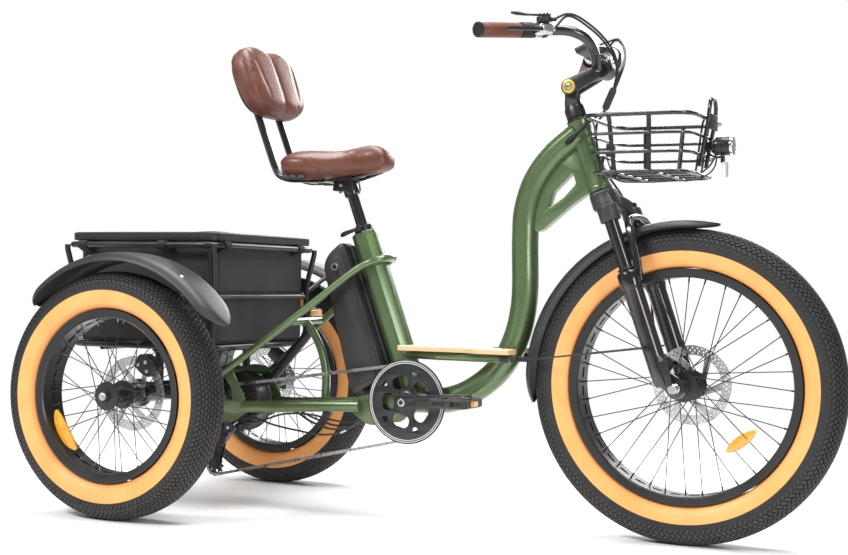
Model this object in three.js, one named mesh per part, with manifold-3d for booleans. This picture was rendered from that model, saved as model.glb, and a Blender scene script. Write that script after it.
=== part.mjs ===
// Electric adult tricycle: step-through frame, one steered fat wheel in front, two fat wheels behind,
// battery on the seat tube, cargo rack with a lined box, front basket and a seat with a backrest.
// Millimetres, +X forward, +Y to the rider's left, +Z up. The origin is on the ground under the middle.
import * as THREE from "three";
import { mergeVertices } from "three/addons/utils/BufferGeometryUtils.js";
import Module from "manifold-3d";

const wasm = await Module();
wasm.setup();

// ---------------------------------------------------------------- driving dimensions
const gap = 0.3; // clearance left between neighbours that touch on the real machine
const wheelbase = 1274;
const rearTrack = 753;
const frontTyreR = 350; // 24 x 4.0 tyre
const rearTyreR = 292; // 20 x 4.0 tyre
const tyreHalfWidth = 50;
const tyreHeight = 88; // from the rim's edge to the tread
const wheelSegments = 32;
const leanDeg = 19.3; // steering axis from the vertical
const headFoot = [1066, 791]; // x and z of the head tube's lower end, x from the rear axle
const headLength = 164;
const crownOffset = 28; // fork legs ahead of the steering axis
const legSpread = 92; // half the distance between the fork legs
const bracket = [612, 286]; // x and z of the crank axle
const seatTilt = 20.4; // seat tube from the vertical
const seatTubeLength = 431;
const crankLength = 168;
const crankDeg = 4; // right crank above the horizontal
const chainLineY = -51;
const motorAxis = [107, 258];
const barR = 11.4;
const postR = 14.6;
const midLength = (frontTyreR + wheelbase - rearTyreR) / 2; // rear axle to the middle of the machine

// ---------------------------------------------------------------- finishes
const finish = (color, roughness, metalness) =>
  new THREE.MeshStandardMaterial({ color, roughness, metalness, flatShading: true });
const green = () => finish(0x4a6b3a, 0.35, 0.6);
const blackCoat = () => finish(0x161616, 0.45, 0.2);
const blackPlastic = () => finish(0x202122, 0.6, 0);
const rubber = () => finish(0x1b1b1b, 0.85, 0);
const steel = () => finish(0xa8aaac, 0.3, 0.9);
const leather = () => finish(0x6b3a28, 0.6, 0);
const canvas = () => finish(0x1e1f20, 0.85, 0);
const birch = () => finish(0xe3c39a, 0.5, 0);

// ---------------------------------------------------------------- shape helpers
const vec = (p) => new THREE.Vector3(...p);
const rad = THREE.MathUtils.degToRad;

// closed geometry to a solid: only positions, vertices merged, no empty triangles, faces outwards
function solid(geometry) {
  const bare = geometry.clone();
  for (const name of Object.keys(bare.attributes)) {
    if (name !== "position") bare.deleteAttribute(name);
  }
  const merged = mergeVertices(bare, 1e-3);
  const at = merged.attributes.position.array;
  const kept = [];
  let volume = 0;
  for (let i = 0; i < merged.index.count; i += 3) {
    const [a, b, c] = [0, 1, 2].map((k) => merged.index.getX(i + k));
    if (a === b || b === c || c === a) continue;
    kept.push([a, b, c]);
    const [p, q, r] = [a, b, c].map((k) => new THREE.Vector3().fromArray(at, 3 * k));
    volume += p.dot(q.cross(r));
  }
  const turns = volume < 0 ? kept.map(([a, b, c]) => [a, c, b]) : kept;
  const mesh = new wasm.Mesh({ numProp: 3, vertProperties: at, triVerts: new Uint32Array(turns.flat()) });
  return new wasm.Manifold(mesh);
}

function geometryOf(manifold) {
  const mesh = manifold.getMesh();
  const geometry = new THREE.BufferGeometry();
  geometry.setAttribute("position", new THREE.BufferAttribute(new Float32Array(mesh.vertProperties), 3));
  geometry.setIndex(new THREE.BufferAttribute(new Uint32Array(mesh.triVerts), 1));
  return geometry;
}

const joined = (parts) => parts.map(solid).reduce((whole, part) => whole.add(part));
const join = (parts) => geometryOf(joined(parts));
const cut = (parts, tools) => geometryOf(joined(parts).subtract(joined(tools)));

const block = (x, y, z) => {
  const size = [x, y, z].map(([low, high]) => high - low);
  const middle = [x, y, z].map(([low, high]) => (low + high) / 2);
  return new THREE.BoxGeometry(...size).translate(...middle);
};

// straight round bar between two points, with its own radius at each end
function rod(from, to, r, sides = 10, endR = r) {
  const [a, b] = [vec(from), vec(to)];
  const along = b.clone().sub(a);
  const upY = new THREE.Vector3(0, 1, 0);
  const turn = new THREE.Quaternion().setFromUnitVectors(upY, along.clone().normalize());
  const geometry = new THREE.CylinderGeometry(endR, r, along.length(), sides);
  const middle = a.add(b).multiplyScalar(0.5);
  return geometry.applyMatrix4(new THREE.Matrix4().compose(middle, turn, new THREE.Vector3(1, 1, 1)));
}

const ringPoints = (r, sides) =>
  Array.from({ length: sides }, (_, i) => {
    const a = ((i + 0.5) / sides) * 2 * Math.PI;
    return new THREE.Vector2(r * Math.cos(a), r * Math.sin(a));
  });

// bent round tube through the points
function tube(points, r, steps, sides = 8) {
  const path = new THREE.CatmullRomCurve3(points.map(vec), false, "centripetal");
  const shape = new THREE.Shape(ringPoints(r, sides));
  return new THREE.ExtrudeGeometry(shape, { steps, extrudePath: path, bevelEnabled: false });
}

// plate with an outline of (x, z) points, between two values of y
function plateXZ(outline, yLow, yHigh, holes = []) {
  const drawn = (points) => points.map((p) => new THREE.Vector2(...p));
  const shape = outline instanceof THREE.Shape ? outline : new THREE.Shape(drawn(outline));
  shape.holes.push(...holes.map((hole) => new THREE.Path(drawn(hole))));
  const geometry = new THREE.ExtrudeGeometry(shape, {
    depth: yHigh - yLow,
    bevelEnabled: false,
    curveSegments: 4,
  });
  return geometry.rotateX(Math.PI / 2).translate(0, yHigh, 0);
}

// plate with an outline in x and y, between two heights
function plateXY(shape, zLow, zHigh, curveSegments = 4) {
  const depth = zHigh - zLow;
  return new THREE.ExtrudeGeometry(shape, { depth, bevelEnabled: false, curveSegments }).translate(0, 0, zLow);
}

// solid of revolution about a line along Y; the profile is a closed list of (radius, y)
function turned(profile, segments, [x, z] = [0, 0]) {
  const points = [...profile, profile[0]].map((p) => new THREE.Vector2(...p));
  return new THREE.LatheGeometry(points, segments).rotateY(Math.PI / 2).translate(x, 0, z);
}

const upright = (geometry) => geometry.rotateX(Math.PI / 2); // turns a Y axis into a Z axis
const mirrored = (geometry) => join([geometry.clone().scale(1, -1, 1)]);
const sides = [
  [-1, "right"],
  [1, "left"],
];

function roundRect(halfX, halfY, r, [x, y] = [0, 0]) {
  const shape = new THREE.Shape();
  const corner = (cx, cy, start) => shape.absarc(x + cx, y + cy, r, start, start + Math.PI / 2);
  corner(halfX - r, halfY - r, 0);
  corner(-halfX + r, halfY - r, Math.PI / 2);
  corner(-halfX + r, -halfY + r, Math.PI);
  corner(halfX - r, -halfY + r, 1.5 * Math.PI);
  shape.closePath();
  return shape;
}

// ---------------------------------------------------------------- groups: every piece hangs in one
const tricycle = new THREE.Group();
const bike = new THREE.Group(); // x from the rear axle
bike.position.x = -midLength;
tricycle.add(bike);

const steer = new THREE.Group(); // z up the steering axis from the head tube's lower end
steer.position.set(headFoot[0], 0, headFoot[1]);
steer.rotation.y = -rad(leanDeg);
bike.add(steer);

const seat = new THREE.Group(); // z up the seat tube from the crank axle, -x behind it
seat.position.set(bracket[0], 0, bracket[1]);
seat.rotation.y = -rad(seatTilt);
bike.add(seat);

for (const group of [bike, steer, seat]) group.updateMatrix();
const inSteer = (geometry) => geometry.applyMatrix4(steer.matrix);
const inSeat = (geometry) => geometry.applyMatrix4(seat.matrix);

function add(group, name, geometry, material) {
  const mesh = new THREE.Mesh(geometry, material);
  mesh.name = name;
  group.add(mesh);
}

// ---------------------------------------------------------------- frame
const mainR = 31;
const headR = 24.5;
const steererR = 14.3;
const seatHalf = 31; // octagonal seat tube, half across the flats
const octagonR = seatHalf / Math.cos(Math.PI / 8);
const bracketHalf = 36;
const boardTop = 420;
const boardUnder = 408;

function mainFrame() {
  const line = [
    [1014, 919],
    [954, 869],
    [910, 809],
    [888, 740],
    [885, 676],
    [885, 524],
    [865, 438],
    [826, 370],
    [761, 317],
    [700, 292],
    bracket,
  ];
  const mainTube = tube(line.map(([x, z]) => [x, 0, z]), mainR, 20, 10);
  const head = inSteer(rod([0, 0, 0], [0, 0, headLength], headR, 12));
  const lowerCup = inSteer(rod([0, 0, -5], [0, 0, 8], 28, 12));
  const seatTube = new THREE.CylinderGeometry(octagonR, octagonR, seatTubeLength, 8).rotateY(Math.PI / 8);
  upright(seatTube).translate(0, 0, seatTubeLength / 2);
  const gusset = [
    [1026, 892],
    [1062, 800],
    [1047, 784],
    [1000, 752],
    [925, 690],
    [896, 700],
    [905, 790],
    [970, 870],
  ];
  const gussetHole = [
    [1003, 828],
    [1012, 803],
    [985, 774],
    [946, 748],
    [957, 784],
  ];
  const shell = rod([bracket[0], -bracketHalf, bracket[1]], [bracket[0], bracketHalf, bracket[1]], 24, 12);
  const railZ = boardUnder - 10.5;
  const rails = sides.flatMap(([s]) => [
    rod([575, 15 * s, railZ], [690, 50 * s, railZ], 10, 6),
    rod([684, 48 * s, railZ], [880, 60 * s, railZ], 10, 6),
  ]);
  const cross = rod([850, -58, railZ], [850, 58, railZ], 8, 6);
  const parts = [mainTube, head, lowerCup, inSeat(seatTube), plateXZ(gusset, -13, 13), shell, ...rails, cross];
  const bores = [
    inSteer(rod([0, 0, -20], [0, 0, headLength + 20], steererR + 3, 12)),
    plateXZ(gussetHole, -20, 20),
    inSeat(rod([0, 0, 120], [0, 0, seatTubeLength + 10], postR + 0.6, 12)),
    rod([bracket[0], -60, bracket[1]], [bracket[0], 60, bracket[1]], 15.5, 12),
  ];
  return cut(parts, bores);
}

const stayTop = [481, 50, 609];
const stayFoot = [100, 127, 312];
const stayBridge = [300, 468]; // x and z of the bridge between the seat stays

function rearFrame() {
  const parts = [];
  const carrier = [
    [180, 236],
    [180, 272],
    [140, 345],
    [95, 350],
    [40, 335],
    [-20, 333],
    [-40, 292],
    [-20, 250],
    [50, 243],
    [78, 236],
    [92, 212],
    [140, 212],
  ];
  const bracketPlate = [
    [583, 300],
    [583, 262],
    [556, 226],
    [500, 222],
    [455, 250],
    [452, 283],
    [500, 298],
  ];
  for (const [s] of sides) {
    const at = ([x, y, z]) => [x, y * s, z];
    const chainStay = [
      [472, 44, 268],
      [330, 48, 261],
      [230, 64, 255],
      [170, 86, 253],
    ];
    parts.push(tube(chainStay.map(at), 15, 6, 8));
    parts.push(plateXZ(carrier, s > 0 ? 84 : -90, s > 0 ? 90 : -84));
    parts.push(plateXZ(bracketPlate, s > 0 ? 36.6 : -41.4, s > 0 ? 41.4 : -36.6));
    parts.push(rod(at(stayFoot), at(stayTop), 9, 6));
    parts.push(rod(at([100, 131, 312]), at([100, 86, 312]), 9, 6));
  }
  const loop = [
    [476, 50.8, 605],
    [505, 46, 619],
    [527, 28, 627],
    [534, 0, 629],
  ];
  const rightLoop = loop.map(([x, y, z]) => [x, -y, z]);
  parts.push(tube([...loop, ...rightLoop.slice(0, -1).reverse()], 9, 10, 6));
  parts.push(rod([stayBridge[0], -86, stayBridge[1]], [stayBridge[0], 86, stayBridge[1]], 9, 6));
  parts.push(rod([452, -44, 264], [452, 44, 264], 9, 6));
  parts.push(rod([358, -47, 262], [358, 47, 262], 9, 6));
  parts.push(tube([[300, 0, 468], [342, 0, 405], [360, 0, 330], [358, 0, 262]], 10, 5, 6));
  const housingHole = rod([0, -120, rearTyreR], [0, 120, rearTyreR], housingR + gap, 12);
  return cut(parts, [housingHole]);
}

// ---------------------------------------------------------------- rear axle and drive
const housingR = 24;
const housingHalf = 285;
const stubR = 10;

function axleHousing() {
  const y = (value) => [0, value, rearTyreR];
  const parts = [
    rod(y(-housingHalf), y(housingHalf), housingR, 12),
    rod(y(98), y(150), 50, 12),
    rod(y(-housingHalf), y(-housingHalf + 12), 34, 12),
    rod(y(housingHalf - 12), y(housingHalf), 34, 12),
    ...sides.map(([s]) => rod([0, 200 * s, rearTyreR], [0, 200 * s, 388], 11, 6)),
    rod([4, 70, 304], [156, 70, 304], 12, 6),
    rod([146, 70, 297], [278, 66, 444], 12, 6),
  ];
  const bores = sides.map(([s]) => rod(y(s * 160), y(s * (housingHalf + 5)), stubR + 1, 12));
  return cut(parts, bores);
}

const motorDrum = () =>
  turned(
    [
      [0, -83.5],
      [7.5, -83.5],
      [7.5, -42],
      [66, -40],
      [77, -30],
      [77, 44],
      [66, 53],
      [32, 60],
      [7.5, 61],
      [7.5, 83.5],
      [0, 83.5],
    ],
    18,
    motorAxis,
  );

const cassette = () =>
  turned(
    [
      [8, -77],
      [22, -77],
      [38.4, -57],
      [38.4, -46.4],
      [50, -46.4],
      [50, -44.4],
      [8, -44.4],
    ],
    20,
    motorAxis,
  );

// the chain's loop: circles in order, each with +1 where the chain goes round it and -1 where it bends back
const chainPitch = 12.7;
const chainHalf = 3.2;
const sprocketR = (teeth) => chainPitch / (2 * Math.sin(Math.PI / teeth));
const guidePulley = [96, 190];
const tensionPulley = [72, 96];
const chainCircles = [
  { at: bracket, r: sprocketR(44), way: 1 },
  { at: motorAxis, r: sprocketR(21), way: 1 },
  { at: guidePulley, r: sprocketR(11), way: -1 },
  { at: tensionPulley, r: sprocketR(11), way: 1 },
];

// points of the loop, moved outwards by the offset: arcs on the circles joined by their tangent lines
function chainOutline(offset) {
  const n = chainCircles.length;
  const tangentTurn = chainCircles.map((circle, i) => {
    const next = chainCircles[(i + 1) % n];
    const [dx, dz] = [next.at[0] - circle.at[0], next.at[1] - circle.at[1]];
    const rise = circle.way * circle.r - next.way * next.r;
    return Math.atan2(dz, dx) - Math.acos(rise / Math.hypot(dx, dz));
  });
  return chainCircles.flatMap((circle, i) => {
    const r = circle.way * circle.r + offset;
    const start = tangentTurn[(i + n - 1) % n];
    let sweep = tangentTurn[i] - start;
    while (circle.way * sweep < 0) sweep += circle.way * 2 * Math.PI;
    const steps = Math.max(2, Math.ceil(Math.abs(sweep) / rad(18)));
    return Array.from({ length: steps + 1 }, (_, k) => {
      const a = start + (sweep * k) / steps;
      return [circle.at[0] + r * Math.cos(a), circle.at[1] + r * Math.sin(a)];
    });
  });
}

const chain = () =>
  plateXZ(chainOutline(chainHalf), chainLineY - 3.7, chainLineY + 3.7, [chainOutline(-chainHalf)]);

const chainring = () =>
  turned(
    [
      [20.6, -60],
      [102, -60],
      [102, -57],
      [40, -57],
      [40, -52.2],
      [84, -52.2],
      [84, -49.8],
      [20.6, -47],
    ],
    24,
    bracket,
  );

// link shape with round ends between two points of the (x, z) plane
function link([x0, z0], [x1, z1], r0, r1, yLow, yHigh) {
  const turn = Math.atan2(z1 - z0, x1 - x0);
  const shape = new THREE.Shape();
  shape.absarc(x0, z0, r0, turn + Math.PI / 2, turn + 1.5 * Math.PI);
  shape.absarc(x1, z1, r1, turn - Math.PI / 2, turn + Math.PI / 2);
  shape.closePath();
  return plateXZ(shape, yLow, yHigh);
}

const armIn = 74; // the crank arms' inner and outer faces
const armOut = 88;
const crankReach = [crankLength * Math.cos(rad(crankDeg)), crankLength * Math.sin(rad(crankDeg))];
const pedalAt = (s) => [bracket[0] - s * crankReach[0], bracket[1] - s * crankReach[1]];

function cranks() {
  const onAxle = (y) => [bracket[0], y, bracket[1]];
  const axle = (from, to, r) => rod(onAxle(from), onAxle(to), r, 12);
  const parts = [axle(-92, 92, 12), axle(-armIn, -42.6, 20), axle(50, armIn, 16)];
  for (const [s] of sides) {
    const end = pedalAt(s);
    parts.push(link(bracket, end, 19, 13, s > 0 ? armIn : -armOut, s > 0 ? armOut : -armIn));
    parts.push(rod([end[0], armIn * s, end[1]], [end[0], 100 * s, end[1]], 12, 10));
    parts.push(rod([end[0], (armIn + 4) * s, end[1]], [end[0], 194 * s, end[1]], 6, 8));
  }
  return join(parts);
}

function pedal(s) {
  const [x, z] = pedalAt(s);
  const y = s > 0 ? [101, 200] : [-200, -101];
  const tread = block([x - 48, x + 48], y, [z - 12, z + 12]);
  const windows = [-1, 1].map((k) =>
    block([x + k * 27 - 13, x + k * 27 + 13], [y[0] + 12, y[1] - 12], [z - 20, z + 20]),
  );
  return cut([tread], [...windows, rod([x, 88 * s, z], [x, 195 * s, z], 6.5, 8)]);
}

const jockeyR = 18.8;
function derailleurCage() {
  const parts = [
    link(guidePulley, tensionPulley, 14, 14, -59, -57),
    link(guidePulley, tensionPulley, 14, 14, -45, -43),
  ];
  for (const [x, z] of [guidePulley, tensionPulley]) {
    parts.push(rod([x, -58.5, z], [x, -43.5, z], 5, 6));
    parts.push(rod([x, chainLineY - 1.2, z], [x, chainLineY + 1.2, z], jockeyR, 10));
  }
  return join(parts);
}

function derailleurBody() {
  const [x, z] = guidePulley;
  return join([
    link([x, z], [x + 32, z + 6], 12, 13, -74, -60),
    link([x + 32, z + 6], [x + 30, z + 34], 11, 10, -83.6, -70),
  ]);
}

// ---------------------------------------------------------------- wheels
// open-bottomed tyre on a flanged rim; y runs across the wheel from its middle plane
function tyre(r) {
  const bead = r - tyreHeight + gap;
  const half = [
    [bead, 38],
    [r - 62, tyreHalfWidth],
    [r - 28, 47],
    [r, 18],
  ];
  const inner = [
    [r - 16, 32],
    [bead, 34],
  ];
  const flip = ([radius, y]) => [radius, -y];
  const outerWall = [...half.map(flip), ...[...half].reverse()];
  const innerWall = [...[...inner].reverse(), ...inner.map(flip)];
  return turned([...outerWall, ...innerWall], wheelSegments);
}

// rim, hub and spokes of one wheel; the spokes leave two flanges of the hub in turn
function laced(r, hubProfile, flanges, flangeR, spokes = 8) {
  const edge = r - tyreHeight;
  const rim = [
    [edge - 22, -36],
    [edge, -40],
    [edge - 16, -28],
    [edge - 16, 28],
    [edge, 40],
    [edge - 22, 36],
  ];
  const parts = [turned(rim, wheelSegments), turned(hubProfile, 9)];
  for (let i = 0; i < spokes; i += 1) {
    const a = (i / spokes) * 2 * Math.PI;
    const flange = flanges[i % 2];
    const twist = i % 4 < 2 ? 0.25 : -0.25;
    const from = [(flangeR - 3) * Math.cos(a), flange, (flangeR - 3) * Math.sin(a)];
    const out = edge - 21;
    const to = [out * Math.cos(a + twist), 6 * Math.sign(flange), out * Math.sin(a + twist)];
    parts.push(rod(from, to, 2.2, 3));
  }
  return parts;
}

const rotorR = 90;
const rotor = (from, to, bore) => turned([[bore, from], [rotorR, from], [rotorR, to], [bore, to]], 20);

// disc brake caliper: a block straddling the rotor, turned about the axle
function caliper(yLow, yHigh, rotorY, turnDeg) {
  const body = block([-26, 26], [yLow, yHigh], [58, 100]);
  const slot = block([-40, 40], [rotorY - 2.5, rotorY + 2.5], [40, rotorR + 3]);
  return cut([body], [slot]).rotateY(rad(turnDeg));
}

function rearWheel(s) {
  const hub = [
    [0, -212],
    [stubR, -212],
    [stubR, -84],
    [21, -82],
    [21, -34],
    [33, -34],
    [33, -28],
    [18, -26],
    [18, 26],
    [33, 28],
    [33, 32],
    [14, 34],
    [12, 46],
    [0, 46],
  ];
  const whole = join(laced(rearTyreR, hub, [-31, 28], 33));
  return s > 0 ? whole : mirrored(whole);
}

const frontHub = [
  [5.8, -66],
  [13, -66],
  [13, -34],
  [33, -33],
  [33, -28],
  [20, -26],
  [20, 26],
  [33, 28],
  [33, 33],
  [22, 34],
  [22, 53],
  [13, 54],
  [13, 66],
  [5.8, 66],
];

// ---------------------------------------------------------------- fork, in the steering group
const axleU = 50.6; // front axle ahead of the steering axis
const axleW = -484.9; // and below the head tube's lower end
const stanchionR = 15.5;
const legR = 22;
const legTop = -212;
const archW = -95;
const archU = 60;
const capTop = -53; // top of the crown's two clamps

function forkCrown() {
  const crown = plateXY(roundRect(29, 36, 20, [4, 0]), -50, -8);
  const parts = [crown, rod([0, 0, -20], [0, 0, 200], steererR, 12)];
  for (const [s] of sides) {
    const y = legSpread * s;
    parts.push(rod([crownOffset, y, -320], [crownOffset, y, capTop - 4], stanchionR, 12));
    parts.push(rod([crownOffset, y, capTop - 38], [crownOffset, y, capTop], 23, 12));
    parts.push(rod([8, 26 * s, -32], [crownOffset, y, capTop - 17], 16, 10));
  }
  return join(parts);
}

function forkLowers() {
  const parts = [];
  const bores = [];
  for (const [s] of sides) {
    const y = legSpread * s;
    parts.push(rod([crownOffset, y, -470], [crownOffset, y, legTop], legR, 12));
    parts.push(rod([crownOffset, y, legTop - 34], [crownOffset, y, legTop + 2], 26, 12));
    bores.push(rod([crownOffset, y, -430], [crownOffset, y, legTop + 70], stanchionR + 0.8, 12));
    const inner = s > 0 ? [72, 92] : [-92, -72];
    parts.push(block([14, 66], inner, [-508, -458]));
    bores.push(rod([axleU, s * 60, axleW], [axleU, s * 100, axleW], 5.6, 10));
  }
  const arch = [
    [crownOffset + 20, 92, legTop - 20],
    [archU, 92, -150],
    [archU, 78, -106],
    [archU, 40, archW],
  ];
  const rightArch = arch.map(([x, y, z]) => [x, -y, z]);
  parts.push(tube([...arch, ...rightArch.reverse()], 9, 14, 6));
  return cut(parts, bores);
}

// one arc of mudguard about the origin: a channel section swept round the wheel
class Arc extends THREE.Curve {
  constructor(r, fromDeg, toDeg) {
    super();
    Object.assign(this, { r, from: rad(fromDeg), to: rad(toDeg) });
  }

  getPoint(t, target = new THREE.Vector3()) {
    const a = this.from + (this.to - this.from) * t;
    return target.set(this.r * Math.cos(a), 0, this.r * Math.sin(a));
  }
}

function guardArc(r, fromDeg, toDeg, halfWidth, lip) {
  const section = [
    [-halfWidth, -lip],
    [-halfWidth, -6],
    [-halfWidth + 14, 0],
    [halfWidth - 14, 0],
    [halfWidth, -6],
    [halfWidth, -lip],
    [halfWidth - 3, -lip],
    [halfWidth - 3, -7.5],
    [halfWidth - 15, -3],
    [-halfWidth + 15, -3],
    [-halfWidth + 3, -7.5],
    [-halfWidth + 3, -lip],
  ];
  const shape = new THREE.Shape(section.map(([across, up]) => new THREE.Vector2(across, up)));
  const extrudePath = new Arc(r, fromDeg, toDeg);
  return new THREE.ExtrudeGeometry(shape, { steps: 12, extrudePath, bevelEnabled: false });
}

function frontFender() {
  const parts = [guardArc(371, 81, 188, 57, 14).translate(wheelbase, 0, frontTyreR)];
  for (const [s] of sides) {
    const y = (value) => value * s;
    parts.push(rod([904, y(53), 398], [950, y(72), 402], 3.2, 5));
    parts.push(rod([948, y(71.5), 402], [1214, y(118.5), 437], 3.2, 5));
    parts.push(rod([1214, y(114.6), 437], [1214, y(122), 437], 7, 8));
  }
  return join(parts);
}

function axleLever() {
  const at = (y) => [wheelbase, y, frontTyreR];
  return join([
    rod(at(-104), at(104), 5, 10),
    rod(at(-124), at(-92.6), 11, 10),
    rod(at(92.6), at(108), 11, 10),
    rod([wheelbase - 4, -121, frontTyreR + 4], [wheelbase - 32, -121, frontTyreR + 68], 6, 8, 4),
  ]);
}

// ---------------------------------------------------------------- stem and handlebar
const stemPivot = [994, 1026]; // x and z
const barClamp = [1071, 1063];
const gripIn = [955, 235, 1122];
const gripOut = [904, 350, 1107];
const gripLine = vec(gripOut).sub(vec(gripIn)).normalize();
const onGrip = (a, s = 1) => {
  const p = vec(gripIn).addScaledVector(gripLine, a);
  return [p.x, p.y * s, p.z];
};
const gripLength = 126.7;
const straightIn = -92; // where the bar's straight end stretch begins, measured back from the grip

function stemBase() {
  const parts = [
    rod([0, 0, 171.5], [0, 0, 205], 24, 14),
    block([-14, 22], [-11.5, 11.5], [200, 246]),
    rod([9.7, -11.5, 245.6], [9.7, 11.5, 245.6], 19, 14),
  ];
  return cut(parts, [rod([0, 0, 160], [0, 0, 200.5], steererR + gap, 12)]);
}

function stemArm() {
  const [px, pz] = stemPivot;
  const [cx, cz] = barClamp;
  const cheek = (low) => link([px, pz], [cx - 14, cz - 6], 19, 14, low, low + 10);
  const web = link([px + 38, pz + 18], [cx - 12, cz - 6], 14, 15, -15, 15);
  const across = (half, r, n) => rod([cx, -half, cz], [cx, half, cz], r, n);
  return cut([cheek(-22), cheek(12), web, across(26, 21, 14)], [across(60, barR + 0.5, 12)]);
}

function handlebar() {
  const half = [
    [1071, 32, 1063],
    [1071, 50, 1065],
    [1074, 84, 1091],
    [1064, 112, 1117],
    [1034, 136, 1131],
    onGrip(straightIn),
    onGrip(straightIn + 12),
  ];
  const parts = sides.flatMap(([s]) => {
    const bend = half.map(([x, y, z]) => [x, y * s, z]);
    return [tube(bend, barR, 10, 8), rod(onGrip(straightIn + 10, s), onGrip(gripLength - 3, s), barR, 8)];
  });
  parts.push(rod([1071, -36, 1063], [1071, 36, 1063], barR, 8));
  return join(parts);
}

// the controls are drawn for the right hand and mirrored for the left:
// local x runs outwards along the bar from the grip's inner end, y ahead of the bar, z above it
const handMatrix = (() => {
  const out = vec(onGrip(1, -1)).sub(vec(onGrip(0, -1)));
  const ahead = new THREE.Vector3(1, 0, 0).addScaledVector(out, -out.x).normalize();
  const over = out.clone().cross(ahead);
  return new THREE.Matrix4().makeBasis(out, ahead, over).setPosition(vec(onGrip(0, -1)));
})();
const hand = (geometry, s) => {
  const placed = geometry.applyMatrix4(handMatrix);
  return s < 0 ? placed : mirrored(placed);
};
const barRod = (from, to, r, n) => rod([from, 0, 0], [to, 0, 0], r, n);
const sleeve = (from, to, r) => cut([barRod(from, to, r, 14)], [barRod(from - 9, to + 9, barR + 0.6, 12)]);

const leverPivot = [-34, 36];
function brakeBody() {
  const body = [
    rod([-62, 0, 0], [-42, 0, 0], 17, 12),
    block([-60, -22], [18, 46], [-13, -4.4]),
    block([-60, -22], [18, 46], [4.4, 11]),
    block([-62, -46], [8, 46], [-13, 11]),
  ];
  return cut(body, [rod([-80, 0, 0], [0, 0, 0], barR + 0.6, 12)]);
}
const brakeLever = () => {
  const blade = [
    [-42, 30],
    [-28, 30],
    [0, 38],
    [70, 44],
    [92, 50],
    [92, 58],
    [64, 54],
    [-4, 50],
    [-34, 44],
  ];
  const shape = new THREE.Shape(blade.map((p) => new THREE.Vector2(...p)));
  return plateXY(shape, -4, 4);
};

function shifterBody() {
  return cut(
    [
      rod([-78, 0, 0], [-66, 0, 0], 16, 12),
      block([-79, -67], [-5, 12], [12, 20]),
      rod([-73, 4, 18], [-73, 4, 30], 17, 14),
    ],
    [rod([-90, 0, 0], [-50, 0, 0], barR + 0.6, 12)],
  );
}
const shiftLever = () =>
  join([rod([-73, 4, 30.6], [-73, 4, 37], 16, 14), rod([-73, 4, 36.5], [-38, 26, 42], 5, 8, 4)]);

function display() {
  const screen = block([-20, 20], [-36, 36], [-7, 7]).rotateY(rad(-25)).translate(1030, 0, 1112);
  const post = rod([1034, 0, 1107], [1066, 0, 1093], 6, 8);
  const clamp = rod([1066, -9, 1092], [1066, 9, 1092], 6, 8);
  return join([screen, post, clamp]);
}

// cables and hoses held between the controls and the frame
const sheathTop = [1094, 0, 1012];
const sheathFoot = [1074, 0, 972];
const cableR = 2.6;

function upperLoom() {
  const runs = [
    [onGripAhead(-50, 50, -1), [1060, -150, 1150], [1098, -60, 1110], [1102, -6, 1050], sheathTop],
    [onGripAhead(-50, 50, 1), [1060, 150, 1150], [1098, 60, 1110], [1102, 6, 1050], sheathTop],
  ];
  const hoses = runs.map((run) => tube(run, cableR, 16, 5));
  return join([...hoses, rod([1095, 0, 1018], sheathFoot, 8, 10)]);
}

// a point beside the hand grip: a along the bar, b ahead of it
function onGripAhead(a, b, s) {
  const p = new THREE.Vector3(a, b, 0).applyMatrix4(handMatrix);
  return [p.x, s < 0 ? p.y : -p.y, p.z];
}

const lowerLoom = () => {
  const run = [[1071, -2, 968], [1057, -14, 959], [1043, -30, 940], [1010, -38, 908], [990, -37, 893]];
  return tube(run, 4.5, 10, 6);
};

const brakeHose = () =>
  tube(
    [
      [1070, 10, 964],
      [1045, 33, 944],
      [1040, 56, 888],
      [1048, 100, 836],
      [1074, 126, 790],
      [1128, 126, 700],
      [1152, 121, 580],
      [1168, 96, 490],
      [1188, 76, 430],
      [1197, 72, 408],
    ],
    cableR,
    24,
    5,
  );

// ---------------------------------------------------------------- seat
function seatFrame() {
  const parts = [
    rod([0, 0, 528], [0, 0, 566], 20, 14),
    rod([0, -30, 556], [0, 30, 556], 9, 6),
  ].map(inSeat);
  for (const [s] of sides) {
    const y = (value) => value * s;
    const post = [[360, 822], [275, 822], [243, 832], [229, 858], [180, 983], [150, 1060]];
    parts.push(tube(post.map(([x, z]) => [x, y(50), z]), 9, 10, 6));
    parts.push(rod([300, y(24), 838], [480, y(24), 836], 4.5, 5));
    parts.push(rod([318, y(52), 820], [318, y(52), 843], 15, 7));
    parts.push(rod([410, y(24), 812], [410, y(24), 840], 9, 6));
  }
  parts.push(rod([340, -50, 822], [340, 50, 822], 8, 6));
  parts.push(block([318, 430], [-16, 16], [816, 830]));
  parts.push(rod([300, -56, 838], [300, 56, 838], 5, 5));
  parts.push(rod([153, -50, 1052], [153, 50, 1052], 6, 6));
  parts.push(rod([476, -26, 836], [476, 26, 836], 5, 5));
  const postBore = inSeat(rod([0, 0, 500], [0, 0, 548], postR + gap, 14));
  return cut(parts, [postBore]);
}

// outline made a slab with rounded edges above and below
const cushioned = (shape, depth, bevelThickness, bevelSize, curveSegments) =>
  new THREE.ExtrudeGeometry(shape, { depth, bevelThickness, bevelSize, bevelSegments: 2, curveSegments });

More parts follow.
